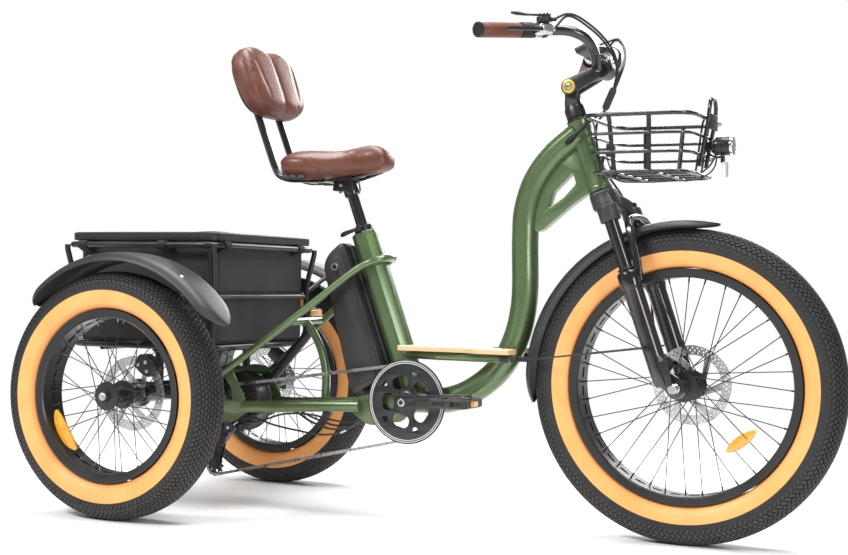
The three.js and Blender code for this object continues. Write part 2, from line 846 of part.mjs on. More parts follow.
function saddle() {
  const shape = new THREE.Shape();
  shape.moveTo(530, -8);
  shape.bezierCurveTo(536, -4, 536, 4, 530, 8);
  shape.bezierCurveTo(430, 24, 410, 56, 372, 108);
  shape.bezierCurveTo(345, 134, 274, 128, 274, 76);
  shape.bezierCurveTo(268, 30, 268, -30, 274, -76);
  shape.bezierCurveTo(274, -128, 345, -134, 372, -108);
  shape.bezierCurveTo(410, -56, 430, -24, 530, -8);
  return cushioned(shape, 20, 13, 11, 4).translate(0, 0, 858);
}

function backrestPad() {
  const pad = cushioned(roundRect(92, 128, 55), 34, 12, 12, 3);
  return pad.rotateY(rad(90 - 22)).translate(171.5, 0, 1066.5);
}

const seatClamp = () =>
  cut(
    [rod([0, 0, seatTubeLength + gap], [0, 0, 448], 23, 14), block([-12, 12], [-25.5, -18], [434, 446])],
    [rod([0, 0, 400], [0, 0, 460], postR + 0.4, 14)],
  );

const clampLever = () =>
  join([rod([4, -33, 434], [4, -33, 446], 4, 8), link([4, 440], [-44, 440], 5, 4, -37, -31)]);

// ---------------------------------------------------------------- battery
function battery() {
  const outline = [
    [-42, 74],
    [-136, 60],
    [-148, 74],
    [-118, 386],
    [-96, 410],
    [-56, 424],
    [-42, 418],
  ];
  return plateXZ(outline, -45, 45);
}
const batteryMount = () =>
  join([block([-41.5, -33.8], [-20, 20], [40, 410]), block([-130, -34.5], [-28, 28], [28, 56])]);

// ---------------------------------------------------------------- footboard
function footBoard() {
  const shape = new THREE.Shape();
  const halfRear = 70;
  const halfFront = 96;
  shape.moveTo(587, -36);
  shape.lineTo(587, -halfRear + 14);
  shape.quadraticCurveTo(587, -halfRear, 601, -halfRear);
  shape.lineTo(762, -halfRear);
  shape.lineTo(802, -halfFront);
  shape.lineTo(866, -halfFront);
  shape.quadraticCurveTo(886, -halfFront, 886, -halfFront + 20);
  shape.lineTo(886, -36);
  shape.lineTo(802, -36);
  shape.lineTo(802, 36);
  shape.lineTo(886, 36);
  shape.lineTo(886, halfFront - 20);
  shape.quadraticCurveTo(886, halfFront, 866, halfFront);
  shape.lineTo(802, halfFront);
  shape.lineTo(762, halfRear);
  shape.lineTo(601, halfRear);
  shape.quadraticCurveTo(587, halfRear, 587, halfRear - 14);
  shape.lineTo(587, 36);
  shape.lineTo(606, 36);
  shape.lineTo(606, -36);
  shape.closePath();
  return plateXY(shape, boardUnder, boardTop);
}

// ---------------------------------------------------------------- front basket and lamp
const basketAt = [1189, 0];
const basketTop = 943;
const basketFloor = 818;
const basketHalf = [129, 150];
const taper = (z) => 1 - (0.14 * (basketTop - z)) / (basketTop - basketFloor);

function bandXY(halfX, halfY, r, width, z0, z1, at) {
  const shape = roundRect(halfX + width / 2, halfY + width / 2, r + width / 2, at);
  shape.holes.push(roundRect(halfX - width / 2, halfY - width / 2, r - width / 2, at));
  return plateXY(shape, z0, z1, 2);
}

function frontBasket() {
  const [halfX, halfY] = basketHalf;
  const parts = [];
  const bands = [
    [basketTop, 8, 8],
    [880, 5, 8],
    [basketFloor, 7, 6],
  ];
  for (const [z, width, height] of bands) {
    const k = taper(z);
    parts.push(bandXY(halfX * k, halfY * k, 45, width, z - height / 2, z + height / 2, basketAt));
  }
  const outline = roundRect(halfX, halfY, 45);
  const straps = 8;
  for (let i = 0; i < straps; i += 1) {
    const p = outline.getPointAt(i / straps);
    const level = (z) => [basketAt[0] + p.x * taper(z), p.y * taper(z), z];
    parts.push(rod(level(basketFloor), level(basketTop), 4, 3));
  }
  const low = taper(basketFloor);
  for (const y of [-66, 0, 66]) {
    parts.push(block([basketAt[0] - halfX * low, basketAt[0] + halfX * low], [y - 3, y + 3], [816, 820]));
  }
  for (const x of [-40, 40]) {
    parts.push(block([basketAt[0] + x - 3, basketAt[0] + x + 3], [-halfY * low, halfY * low], [815.4, 819.4]));
  }
  const handle = [[1302, 29, 836], [1321, 29, 940], [1324, 27, 972], [1324, 14, 985]];
  const rightHandle = handle.map(([x, y, z]) => [x, -y, z]);
  parts.push(tube([...handle, ...rightHandle.reverse()], 4.5, 12, 4));
  parts.push(block([1320, 1325], [-32, 32], [918, 952]));
  parts.push(block([1298, 1313], [-10, 10], [872, 892]));
  parts.push(block([1052, 1090], [-30, 30], [862, 892]));
  const headGap = inSteer(rod([0, 0, -10], [0, 0, headLength + 10], headR + gap + 0.3, 16));
  return cut(parts, [headGap]);
}

const headlight = () =>
  turned([[0, -48], [15, -48], [21, -36], [21, -4], [19, 0], [0, 0]], 16)
    .rotateZ(-Math.PI / 2)
    .translate(1371, 0, 882);

// ---------------------------------------------------------------- cargo rack and box
const rackAt = [-36, 0];
const rackTop = [227, 253, 40, 652]; // half length, half width, corner radius, height
const rackLow = [214, 229, 16];

function cargoRack() {
  const ring = ([halfX, halfY, r], z, thick) =>
    bandXY(halfX, halfY, r, thick, z - thick / 2, z + thick / 2, rackAt);
  const parts = [ring(rackTop, rackTop[3], 15), ring(rackLow, 527, 13), ring(rackLow, 403, 15)];
  const [halfX, halfY] = rackLow;
  for (const [s] of sides) {
    for (const k of [-1, 1]) {
      const foot = [rackAt[0] + k * (halfX - 3), s * (halfY - 3)];
      const top = [rackAt[0] + k * (rackTop[0] - 12), s * (rackTop[1] - 12)];
      parts.push(rod([...foot, 403], [foot[0], foot[1], 560], 7, 6));
      parts.push(rod([foot[0], foot[1], 552], [...top, rackTop[3]], 7, 6));
    }
    parts.push(rod([150, s * (halfY + 2), 527], [184, s * 309.5, 580], 6, 6));
    parts.push(rod([-190, s * (halfY + 2), 527], [-118, s * 309.5, 592], 6, 6));
  }
  for (const x of [-160, 0, 110]) parts.push(rod([x, -halfY, 396], [x, halfY, 396], 7, 6));
  return join(parts);
}

const boxHalf = [204, 218];
function cargoBox() {
  const [halfX, halfY] = boxHalf;
  const outer = plateXY(roundRect(halfX, halfY, 22, rackAt), 411, 668);
  const inner = plateXY(roundRect(halfX - 5, halfY - 5, 18, rackAt), 416, 700);
  return cut([outer], [inner]);
}
const boxLid = () =>
  join([
    plateXY(roundRect(217, 236, 24, rackAt), 670, 688),
    bandXY(213, 232, 20, 6, 662, 674, rackAt),
  ]);

// ---------------------------------------------------------------- assembly
add(bike, "main_frame", mainFrame(), green());
add(bike, "rear_frame", rearFrame(), green());
add(bike, "axle_housing", axleHousing(), blackCoat());
add(bike, "motor_drum", motorDrum(), blackCoat());
add(bike, "cassette", cassette(), steel());
add(bike, "chain", chain(), steel());
add(bike, "chainring", chainring(), blackCoat());
add(bike, "crank_arms", cranks(), blackCoat());
add(bike, "derailleur_body", derailleurBody(), blackCoat());
add(bike, "derailleur_cage", derailleurCage(), blackCoat());
add(bike, "foot_board", footBoard(), birch());
add(bike, "front_basket", frontBasket(), blackCoat());
add(bike, "headlight", headlight(), blackPlastic());
add(bike, "cargo_rack", cargoRack(), blackCoat());
add(bike, "cargo_box", cargoBox(), canvas());
add(bike, "box_lid", boxLid(), canvas());
add(bike, "cable_loom_lower", lowerLoom(), rubber());

for (const [s, name] of sides) {
  const wheelY = (rearTrack / 2) * s;
  const place = (geometry) => geometry.translate(0, wheelY, rearTyreR);
  const guard = guardArc(340, 33, 141, 62, 18).translate(25, wheelY, rearTyreR);
  const rotorY = 304.5 * s;
  add(bike, `pedal_${name}`, pedal(s), blackPlastic());
  add(bike, `rear_tyre_${name}`, place(tyre(rearTyreR)), rubber());
  add(bike, `rear_wheel_${name}`, place(rearWheel(s)), blackCoat());
  add(bike, `rear_rotor_${name}`, rotor(rotorY - 1, rotorY + 1, 22.4).translate(0, 0, rearTyreR), steel());
  add(bike, `rear_fender_${name}`, guard, blackPlastic());
  const grip = s < 0 ? caliper(-322, -288, rotorY, 32) : caliper(288, 322, rotorY, 32);
  add(bike, `rear_caliper_${name}`, grip.translate(0, 0, rearTyreR), blackCoat());
  add(bike, `grip_${name}`, hand(sleeve(0.5, gripLength, 16), s), leather());
  add(bike, `brake_body_${name}`, hand(brakeBody(), s), steel());
  add(bike, `brake_lever_${name}`, hand(brakeLever(), s), blackCoat());
}

add(bike, "front_tyre", tyre(frontTyreR).translate(wheelbase, 0, frontTyreR), rubber());
const frontWheel = join(laced(frontTyreR, frontHub, [-30, 30], 33));
add(bike, "front_wheel", frontWheel.translate(wheelbase, 0, frontTyreR), blackCoat());
add(bike, "front_rotor", rotor(47.5, 49.5, 22.4).translate(wheelbase, 0, frontTyreR), steel());
add(bike, "front_caliper", caliper(37, 66, 48.5, -62).translate(wheelbase, 0, frontTyreR), blackCoat());
add(bike, "front_fender", frontFender(), blackPlastic());
add(bike, "front_axle_lever", axleLever(), blackCoat());
add(bike, "front_brake_hose", brakeHose(), rubber());
add(steer, "fork_crown", forkCrown(), blackCoat());
add(steer, "fork_lowers", forkLowers(), blackCoat());
add(steer, "stem_base", stemBase(), blackCoat());
add(bike, "stem_arm", stemArm(), blackCoat());
add(bike, "handlebar", handlebar(), blackCoat());
add(bike, "throttle_grip", hand(sleeve(-40, -0.2, 17), -1), rubber());
add(bike, "shifter_body", hand(shifterBody(), -1), blackPlastic());
add(bike, "shift_lever", hand(shiftLever(), -1), blackPlastic());
add(bike, "display", display(), blackPlastic());
add(bike, "cable_loom_upper", upperLoom(), rubber());

add(seat, "seat_post", rod([0, 0, 225], [0, 0, 547], postR, 14), blackCoat());
add(bike, "seat_frame", seatFrame(), blackCoat());
add(bike, "saddle", saddle(), leather());
add(bike, "backrest_pad", backrestPad(), leather());
add(seat, "seat_clamp", seatClamp(), blackCoat());
add(seat, "seat_clamp_lever", clampLever(), steel());
add(seat, "battery", battery(), blackPlastic());
add(seat, "battery_mount", batteryMount(), blackPlastic());

export default tricycle;
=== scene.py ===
import math

import bmesh
import bpy
import numpy as np
from mathutils import Matrix, Vector
from mathutils.bvhtree import BVHTree


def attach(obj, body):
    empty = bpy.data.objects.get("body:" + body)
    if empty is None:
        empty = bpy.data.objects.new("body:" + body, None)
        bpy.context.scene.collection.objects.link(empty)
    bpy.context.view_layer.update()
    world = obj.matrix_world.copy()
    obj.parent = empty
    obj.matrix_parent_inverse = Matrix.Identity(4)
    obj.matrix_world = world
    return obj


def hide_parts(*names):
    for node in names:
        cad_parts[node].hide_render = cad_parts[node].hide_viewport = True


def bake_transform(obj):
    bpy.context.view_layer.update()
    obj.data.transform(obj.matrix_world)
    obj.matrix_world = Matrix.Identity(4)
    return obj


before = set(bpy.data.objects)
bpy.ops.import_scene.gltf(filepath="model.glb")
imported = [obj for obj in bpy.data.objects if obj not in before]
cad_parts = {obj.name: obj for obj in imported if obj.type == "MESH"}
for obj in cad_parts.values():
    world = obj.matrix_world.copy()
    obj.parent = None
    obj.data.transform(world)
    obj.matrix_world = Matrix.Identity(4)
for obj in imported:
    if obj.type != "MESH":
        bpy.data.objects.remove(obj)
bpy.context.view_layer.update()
scene = bpy.context.scene
print("frame loaded:", len(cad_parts), "nodes")

# everything is drawn in millimetres with x from the rear axle, then moved to the frame and made metres
midLength = 666.0

cameraLook = {"place": (1.4272, -3.127, 0.5731), "yaw": 25.148, "pitch": -0.157, "roll": 0.9607,
              "lens": 60.72}


def addCamera(look):
    yaw, pitch, roll = (math.radians(look[k]) for k in ("yaw", "pitch", "roll"))
    ahead = Vector((-math.sin(yaw) * math.cos(pitch), math.cos(yaw) * math.cos(pitch), -math.sin(pitch)))
    level = Vector((math.cos(yaw), math.sin(yaw), 0))
    above = level.cross(ahead)
    right = math.cos(roll) * level + math.sin(roll) * above
    up = math.cos(roll) * above - math.sin(roll) * level
    data = bpy.data.cameras.new("camera")
    data.lens, data.sensor_width, data.clip_end = look["lens"], 36, 200
    camera = bpy.data.objects.new("camera", data)
    turn = Matrix((right, up, -ahead)).transposed().to_4x4()
    camera.matrix_world = Matrix.Translation(look["place"]) @ turn
    scene.collection.objects.link(camera)
    scene.camera = camera


addCamera(cameraLook)

# nodes for materials
def node(tree, kind, values=None, **settings):
    made = tree.nodes.new(kind)
    for key, value in settings.items():
        setattr(made, key, value)
    for key, value in (values or {}).items():
        if isinstance(value, bpy.types.NodeSocket):
            tree.links.new(value, made.inputs[key])
        else:
            made.inputs[key].default_value = value
    return made


def newGroup(name, inputs, outputs):
    group = bpy.data.node_groups.new(name, "ShaderNodeTree")
    for label, kind, value in inputs:
        socket = group.interface.new_socket(label, in_out="INPUT", socket_type=kind)
        socket.default_value = value
    for label, kind in outputs:
        group.interface.new_socket(label, in_out="OUTPUT", socket_type=kind)
    return group, node(group, "NodeGroupInput").outputs, node(group, "NodeGroupOutput").inputs


# fine grain: two noises mixed, as a height and a mask of broad patches
grainGroup, gIn, gOut = newGroup(
    "fineGrain",
    [("Vector", "NodeSocketVector", (0, 0, 0)), ("Fine", "NodeSocketFloat", 900.0),
     ("Broad", "NodeSocketFloat", 12.0)],
    [("Height", "NodeSocketFloat"), ("Patches", "NodeSocketFloat")],
)
fineNoise = node(grainGroup, "ShaderNodeTexNoise", {"Vector": gIn["Vector"], "Scale": gIn["Fine"],
                                                    "Detail": 3.0})
broadNoise = node(grainGroup, "ShaderNodeTexNoise", {"Vector": gIn["Vector"], "Scale": gIn["Broad"],
                                                     "Detail": 4.0})
grainGroup.links.new(fineNoise.outputs["Fac"], gOut["Height"])
grainGroup.links.new(broadNoise.outputs["Fac"], gOut["Patches"])

# dust: settles low on the machine, broken up by noise
dustGroup, gIn, gOut = newGroup(
    "dust",
    [("Vector", "NodeSocketVector", (0, 0, 0)), ("Amount", "NodeSocketFloat", 0.2),
     ("Reach", "NodeSocketFloat", 0.6)],
    [("Mask", "NodeSocketFloat")],
)
height = node(dustGroup, "ShaderNodeSeparateXYZ", {"Vector": gIn["Vector"]})
low = node(dustGroup, "ShaderNodeMapRange", {"Value": height.outputs["Z"], "From Min": gIn["Reach"],
                                             "From Max": 0.0})
dustNoise = node(dustGroup, "ShaderNodeTexNoise", {"Vector": gIn["Vector"], "Scale": 38.0, "Detail": 6.0,
                                                   "Roughness": 0.7})
broken = node(dustGroup, "ShaderNodeMath", {0: low.outputs["Result"], 1: dustNoise.outputs["Fac"]},
              operation="MULTIPLY")
amount = node(dustGroup, "ShaderNodeMath", {0: broken.outputs[0], 1: gIn["Amount"]}, operation="MULTIPLY")
dustGroup.links.new(amount.outputs[0], gOut["Mask"])

# weave: two crossed waves, one thread over the other
weaveGroup, gIn, gOut = newGroup(
    "weave",
    [("Vector", "NodeSocketVector", (0, 0, 0)), ("Threads", "NodeSocketFloat", 400.0)],
    [("Height", "NodeSocketFloat")],
)
waves = []
for way in ("X", "Y", "Z"):
    wave = node(
        weaveGroup, "ShaderNodeTexWave", {"Vector": gIn["Vector"], "Scale": gIn["Threads"],
                                          "Distortion": 0.0},
        wave_type="BANDS", bands_direction=way,
    )
    waves.append(wave.outputs["Fac"])
crossed = node(weaveGroup, "ShaderNodeMath", {0: waves[0], 1: waves[1]}, operation="ADD")
crossed = node(weaveGroup, "ShaderNodeMath", {0: crossed.outputs[0], 1: waves[2]}, operation="ADD")
weaveGroup.links.new(crossed.outputs[0], gOut["Height"])


def placed(tree, kind, values):
    made = node(tree, "ShaderNodeGroup", node_tree=kind)
    for key, value in values.items():
        if isinstance(value, bpy.types.NodeSocket):
            tree.links.new(value, made.inputs[key])
        else:
            made.inputs[key].default_value = value
    return made


def ramp(tree, value, stops):
    made = node(tree, "ShaderNodeValToRGB", {"Fac": value})
    points = made.color_ramp.elements
    while len(points) < len(stops):
        points.new(0.5)
    for point, (at, colour) in zip(points, stops):
        point.position, point.color = at, (*colour, 1)
    return made.outputs["Color"]


# a finish: two colours in broad patches that also set the roughness, dust over them, fine grain as bump
def finish(name, dark, light, rough=0.5, metal=0.0, spread=0.08, fine=900.0, broad=12.0, bump=0.1,
           depth=0.0003,
           coat=0.0, dust=0.12, dustReach=0.6, extra=None):
    made = bpy.data.materials.new(name)
    made.use_nodes = True
    tree = made.node_tree
    shader = tree.nodes["Principled BSDF"]
    at = node(tree, "ShaderNodeTexCoord").outputs["Object"]
    grain = placed(tree, grainGroup, {"Vector": at, "Fine": fine, "Broad": broad})
    colour = ramp(tree, grain.outputs["Patches"], [(0.3, dark), (0.7, light)])
    roughness = node(
        tree, "ShaderNodeMapRange",
        {"Value": grain.outputs["Patches"], "From Min": 0.3, "From Max": 0.7, "To Min": rough - spread,
         "To Max": rough + spread},
    ).outputs["Result"]
    settled = placed(tree, dustGroup, {"Vector": at, "Amount": dust, "Reach": dustReach})
    mixed = node(tree, "ShaderNodeMix", {"Factor": settled.outputs["Mask"], "A": colour,
                                         "B": (0.42, 0.38, 0.33, 1)}, data_type="RGBA")
    sockets = {"at": at, "colour": mixed.outputs["Result"], "roughness": roughness,
               "height": grain.outputs["Height"]}
    if extra:
        sockets.update(extra(tree, sockets))
    tree.links.new(sockets["colour"], shader.inputs["Base Color"])
    tree.links.new(sockets["roughness"], shader.inputs["Roughness"])
    shader.inputs["Metallic"].default_value = metal
    shader.inputs["Coat Weight"].default_value = coat
    shader.inputs["Coat Roughness"].default_value = 0.12
    raised = node(tree, "ShaderNodeBump", {"Height": sockets["height"], "Strength": bump, "Distance": depth})
    tree.links.new(raised.outputs["Normal"], shader.inputs["Normal"])
    return made


def rgbMix(tree, factor, a, b):
    return node(tree, "ShaderNodeMix", {"Factor": factor, "A": a, "B": b}, data_type="RGBA").outputs["Result"]


def mathOf(tree, operation, a, b=0.0):
    return node(tree, "ShaderNodeMath", {0: a, 1: b}, operation=operation).outputs[0]


# metal flakes in the paint: small cells, each a little lighter or darker
def flakes(tree, s):
    cells = node(tree, "ShaderNodeTexVoronoi", {"Vector": s["at"], "Scale": 1500.0})
    bright = node(tree, "ShaderNodeSeparateColor", {"Color": cells.outputs["Color"]}).outputs["Red"]
    amount = mathOf(tree, "MULTIPLY", bright, 0.35)
    return {"colour": rgbMix(tree, amount, s["colour"], (0.30, 0.42, 0.20, 1))}


# leather: cells of two sizes pressed into the hide, with painted shade darkening the creases
def hide(tree, s):
    cells = node(tree, "ShaderNodeTexVoronoi", {"Vector": s["at"], "Scale": 620.0},
                 feature="DISTANCE_TO_EDGE")
    large = node(tree, "ShaderNodeTexVoronoi", {"Vector": s["at"], "Scale": 210.0},
                 feature="DISTANCE_TO_EDGE")
    both = mathOf(tree, "ADD", mathOf(tree, "MINIMUM", cells.outputs["Distance"], 0.25),
                  mathOf(tree, "MINIMUM", large.outputs["Distance"], 0.12))
    # painted shade: the hide darkens towards each cell's edge, in the creases
    crease = node(tree, "ShaderNodeMapRange", {"Value": both, "From Min": 0.0, "From Max": 0.1,
                                               "To Min": 0.55, "To Max": 0.0}).outputs["Result"]
    return {"colour": rgbMix(tree, crease, s["colour"], (0.045, 0.016, 0.01, 1)), "height": both}


def woven(threads, mix=0.7):
    def effect(tree, s):
        cloth = placed(tree, weaveGroup, {"Vector": s["at"], "Threads": threads})
        return {"height": mathOf(tree, "ADD", mathOf(tree, "MULTIPLY", cloth.outputs["Height"], mix),
                                 s["height"])}

    return effect


# brushed metal: noise drawn out along one axis
def brushed(stretch):
    def effect(tree, s):
        turned = node(tree, "ShaderNodeMapping", {"Vector": s["at"], "Scale": stretch})
        lines = node(tree, "ShaderNodeTexNoise", {"Vector": turned.outputs["Vector"], "Scale": 1.0,
                                                  "Detail": 2.0})
        return {"height": lines.outputs["Fac"]}

    return effect


# wood: rings drawn out along X, with pores
def woodGrain(tree, s):
    along = node(tree, "ShaderNodeMapping", {"Vector": s["at"], "Scale": (1.2, 14.0, 14.0)})
    rings = node(tree, "ShaderNodeTexNoise", {"Vector": along.outputs["Vector"], "Scale": 3.0, "Detail": 6.0,
                                              "Distortion": 1.5})
    pores = node(tree, "ShaderNodeMapping", {"Vector": s["at"], "Scale": (40.0, 900.0, 900.0)})
    dots = node(tree, "ShaderNodeTexNoise", {"Vector": pores.outputs["Vector"], "Scale": 1.0, "Detail": 2.0})
    grain = ramp(tree, rings.outputs["Fac"], [(0.3, (0.80, 0.60, 0.40)), (0.5, (0.88, 0.70, 0.48)),
                                              (0.7, (0.70, 0.48, 0.29))])
    pore = mathOf(tree, "GREATER_THAN", dots.outputs["Fac"], 0.68)
    return {"colour": rgbMix(tree, mathOf(tree, "MULTIPLY", pore, 0.25), grain, (0.45, 0.28, 0.15, 1)),
            "height": dots.outputs["Fac"]}


# plywood's edge: thin layers one above the other
def plyLayers(tree, s):
    level = node(tree, "ShaderNodeSeparateXYZ", {"Vector": s["at"]}).outputs["Z"]
    band = mathOf(tree, "FRACT", mathOf(tree, "MULTIPLY", level, 600.0))
    dark = mathOf(tree, "GREATER_THAN", band, 0.55)
    return {"colour": rgbMix(tree, dark, (0.80, 0.56, 0.33, 1), (0.55, 0.33, 0.16, 1))}


finishes = {
    "paint": finish("greenPaint", (0.044, 0.084, 0.027), (0.062, 0.110, 0.037), 0.33, 0.55, 0.04, 1400, 9,
                    0.05, 0.0001, coat=0.7, dust=0.10, extra=flakes),
    "satin": finish("blackSatin", (0.009, 0.009, 0.010), (0.014, 0.014, 0.015), 0.33, 0.0, 0.05, 1500, 14,
                    0.15, 0.0001, dust=0.06),
    "plastic": finish("blackPlastic", (0.013, 0.013, 0.014), (0.020, 0.020, 0.021), 0.46, 0.0, 0.06, 2200, 16,
                      0.25, 0.0001, dust=0.10),
    "guard": finish("fenderPlastic", (0.012, 0.0122, 0.013), (0.018, 0.0184, 0.0195), 0.46, 0.0, 0.05, 1800,
                    10, 0.15, 0.0001, dust=0.18),
    "cable": finish("cableJacket", (0.010, 0.010, 0.010), (0.016, 0.016, 0.016), 0.4, 0.0, 0.05, 2500, 20,
                    0.1, 0.0001, dust=0.05),
    "tread": finish("treadRubber", (0.017, 0.017, 0.017), (0.028, 0.028, 0.028), 0.68, 0.0, 0.06, 1200, 30,
                    0.3, 0.0002, dust=0.16, dustReach=0.3),
    "leather": finish("brownLeather", (0.098, 0.027, 0.015), (0.140, 0.042, 0.024), 0.46, 0.0, 0.06, 900, 18,
                      0.35, 0.0004, coat=0.15, dust=0.0, extra=hide),
    "thread": finish("seamThread", (0.10, 0.035, 0.02), (0.16, 0.06, 0.035), 0.6, 0.0, 0.05, 2600, 60, 0.6,
                     0.0003, dust=0.0),
    "cloth": finish("boxCloth", (0.011, 0.0112, 0.012), (0.017, 0.0174, 0.0185), 0.46, 0.0, 0.06, 500, 7,
                    0.35, 0.0003, dust=0.05, extra=woven(420, 0.5)),
    "webbing": finish("strapWebbing", (0.010, 0.010, 0.010), (0.017, 0.017, 0.017), 0.8, 0.0, 0.05, 900, 30,
                      0.8, 0.0004, dust=0.03, extra=woven(260, 1.0)),
    "steel": finish("brightSteel", (0.50, 0.51, 0.52), (0.62, 0.63, 0.64), 0.27, 1.0, 0.07, 1200, 22, 0.1,
                    0.0001, dust=0.05, extra=brushed((30.0, 900.0, 30.0))),
    "chainSteel": finish("chainSteel", (0.32, 0.32, 0.33), (0.46, 0.46, 0.47), 0.3, 1.0, 0.08, 900, 60, 0.1,
                         0.0001, dust=0.1),
    "rotorSteel": finish("rotorSteel", (0.55, 0.56, 0.57), (0.68, 0.69, 0.70), 0.3, 1.0, 0.08, 1600, 30, 0.15,
                         0.0001, dust=0.0),
    "alloy": finish("castAlloy", (0.34, 0.345, 0.35), (0.44, 0.445, 0.45), 0.38, 1.0, 0.06, 1500, 20, 0.2,
                    0.0001, dust=0.08),
    "chrome": finish("chrome", (0.70, 0.71, 0.72), (0.80, 0.81, 0.82), 0.1, 1.0, 0.03, 1500, 30, 0.02, 0.0001,
                     dust=0.0),
    "wood": finish("birchFace", (0.80, 0.62, 0.42), (0.88, 0.70, 0.50), 0.42, 0.0, 0.06, 900, 10, 0.12,
                   0.0001, coat=0.2, dust=0.05, extra=woodGrain),
    "ply": finish("plyEdge", (0.70, 0.46, 0.26), (0.80, 0.56, 0.34), 0.6, 0.0, 0.05, 1200, 20, 0.2, 0.0001,
                  dust=0.05, extra=plyLayers),
    "white": finish("whitePrint", (0.62, 0.62, 0.61), (0.74, 0.74, 0.73), 0.45, 0.0, 0.05, 1400, 20, 0.1,
                    0.0001, dust=0.06),
    "gold": finish("brassRing", (0.80, 0.52, 0.06), (0.90, 0.62, 0.10), 0.3, 0.7, 0.05, 1400, 40, 0.1, 0.0001,
                   dust=0.0),
    "red": finish("redButton", (0.55, 0.02, 0.015), (0.68, 0.03, 0.02), 0.35, 0.0, 0.05, 1400, 40, 0.1,
                  0.0001, coat=0.4, dust=0.0),
    "screen": finish("darkScreen", (0.006, 0.007, 0.009), (0.012, 0.013, 0.016), 0.08, 0.0, 0.03, 1400, 10,
                     0.02, 0.0001, coat=1.0, dust=0.0),
}


# reflector plastic: small three-sided cells under a clear skin
def reflectorFinish(name, dark, light):
    def cells(tree, s):
        cube = node(tree, "ShaderNodeTexVoronoi", {"Vector": s["at"], "Scale": 480.0}, distance="MANHATTAN")
        tone = node(tree, "ShaderNodeSeparateColor", {"Color": cube.outputs["Color"]}).outputs["Green"]
        return {"colour": rgbMix(tree, tone, s["colour"], (*light, 1)), "height": cube.outputs["Distance"]}

    return finish(name, dark, light, 0.18, 0.0, 0.04, 900, 60, 0.5, 0.0004, coat=1.0, dust=0.0, extra=cells)


# perforated leather: rows of small dark holes over the hide
def punched(tree, s):
    base = hide(tree, s)
    cells = node(tree, "ShaderNodeTexVoronoi", {"Vector": s["at"], "Scale": 330.0, "Randomness": 0.35})
    hole = node(tree, "ShaderNodeMapRange", {"Value": cells.outputs["Distance"], "From Min": 0.16,
                                             "From Max": 0.24, "To Min": 1.0,
                                             "To Max": 0.0}).outputs["Result"]
    return {"colour": rgbMix(tree, hole, base["colour"], (0.02, 0.008, 0.005, 1)),
            "height": mathOf(tree, "SUBTRACT", base["height"], hole)}


finishes["gripHide"] = finish("gripHide", (0.135, 0.042, 0.022), (0.185, 0.062, 0.034), 0.46, 0.0, 0.06, 900,
                              30, 0.6, 0.0005, dust=0.0, extra=punched)
finishes["gloss"] = finish("blackGloss", (0.007, 0.007, 0.008), (0.012, 0.012, 0.013), 0.2, 0.0, 0.04, 1500,
                           14, 0.06, 0.0001, coat=0.6, dust=0.04)
finishes["cast"] = finish("castBlack", (0.022, 0.022, 0.024), (0.034, 0.034, 0.036), 0.46, 0.0, 0.06, 1100,
                          18, 0.4, 0.0002, dust=0.04)
finishes["amber"] = reflectorFinish("amberReflector", (0.62, 0.20, 0.01), (0.95, 0.42, 0.04))
finishes["clear"] = reflectorFinish("clearReflector", (0.55, 0.56, 0.58), (0.9, 0.9, 0.92))
finishes["lens"] = finish("lampLens", (0.86, 0.88, 0.9), (0.94, 0.95, 0.96), 0.05, 0.0, 0.02, 1500, 60, 0.02,
                          0.0001, coat=1.0, dust=0.0)
finishes["lens"].node_tree.nodes["Principled BSDF"].inputs["Transmission Weight"].default_value = 0.95
print("finishes made:", len(finishes))


# shapes: (points, list of face tables), points in millimetres
# quads between neighbouring rows and columns of a grid of points; both directions can close on themselves
def gridShape(points, closeRows=False, closeColumns=False, ends=False):
    rows, columns = points.shape[:2]
    index = np.arange(rows * columns).reshape(rows, columns)
    whole = index
    if closeRows:
        whole = np.vstack([whole, whole[:1]])
    if closeColumns:
        whole = np.hstack([whole, whole[:, :1]])
    corners = (whole[:-1, :-1], whole[1:, :-1], whole[1:, 1:], whole[:-1, 1:])
    faces = [np.stack(corners, -1).reshape(-1, 4)]
    if ends:
        faces += [index[:1, ::-1], index[-1:]]
    return points.reshape(-1, 3), faces


def combine(shapes):
    points, faces, start = [], [], 0
    for at, tables in shapes:
        points.append(np.asarray(at, float))
        faces += [np.asarray(t) + start for t in tables]
        start += len(at)
    return np.vstack(points), faces


def mirrorY(shape):
    return shape[0] * (1, -1, 1), [t[:, ::-1] for t in shape[1]]


def bothSides(shape):
    return combine([shape, mirrorY(shape)])


def moved(shape, matrix):
    m = np.array(matrix)
    return shape[0] @ m[:3, :3].T + m[:3, 3], shape[1]


# centripetal spline through the points, then equal steps along its length
def splinePath(points, count):
    p = np.array(points, float)
    p = np.vstack([2 * p[0] - p[1], p, 2 * p[-1] - p[-2]])
    knots = np.concatenate([[0], np.cumsum(np.linalg.norm(np.diff(p, axis=0), axis=1) ** 0.5)])
    runs = []
    for i in range(1, len(p) - 2):
        t = np.linspace(knots[i], knots[i + 1], 20, endpoint=False)[:, None]
        level = [p[i - 1 + k] for k in range(4)]
        first = [
            ((knots[i + k] - t) * level[k] + (t - knots[i + k - 1]) * level[k + 1]) / (knots[i + k] - knots[i
                    + k - 1])
            for k in range(3)
        ]
        second = [
            ((knots[i + k + 1] - t) * first[k] + (t - knots[i + k - 1]) * first[k + 1]) / (knots[i + k
                    + 1] - knots[i + k - 1])
            for k in range(2)
        ]
        runs.append(((knots[i + 1] - t) * second[0] + (t - knots[i]) * second[1]) / (knots[i + 1] - knots[i]))
    return evenSteps(np.vstack(runs + [p[-2:-1]]), count)


def evenSteps(line, count):
    length = np.concatenate([[0], np.cumsum(np.linalg.norm(np.diff(line, axis=0), axis=1))])
    wanted = np.linspace(0, length[-1], count)
    return np.stack([np.interp(wanted, length, line[:, k]) for k in range(3)], -1)


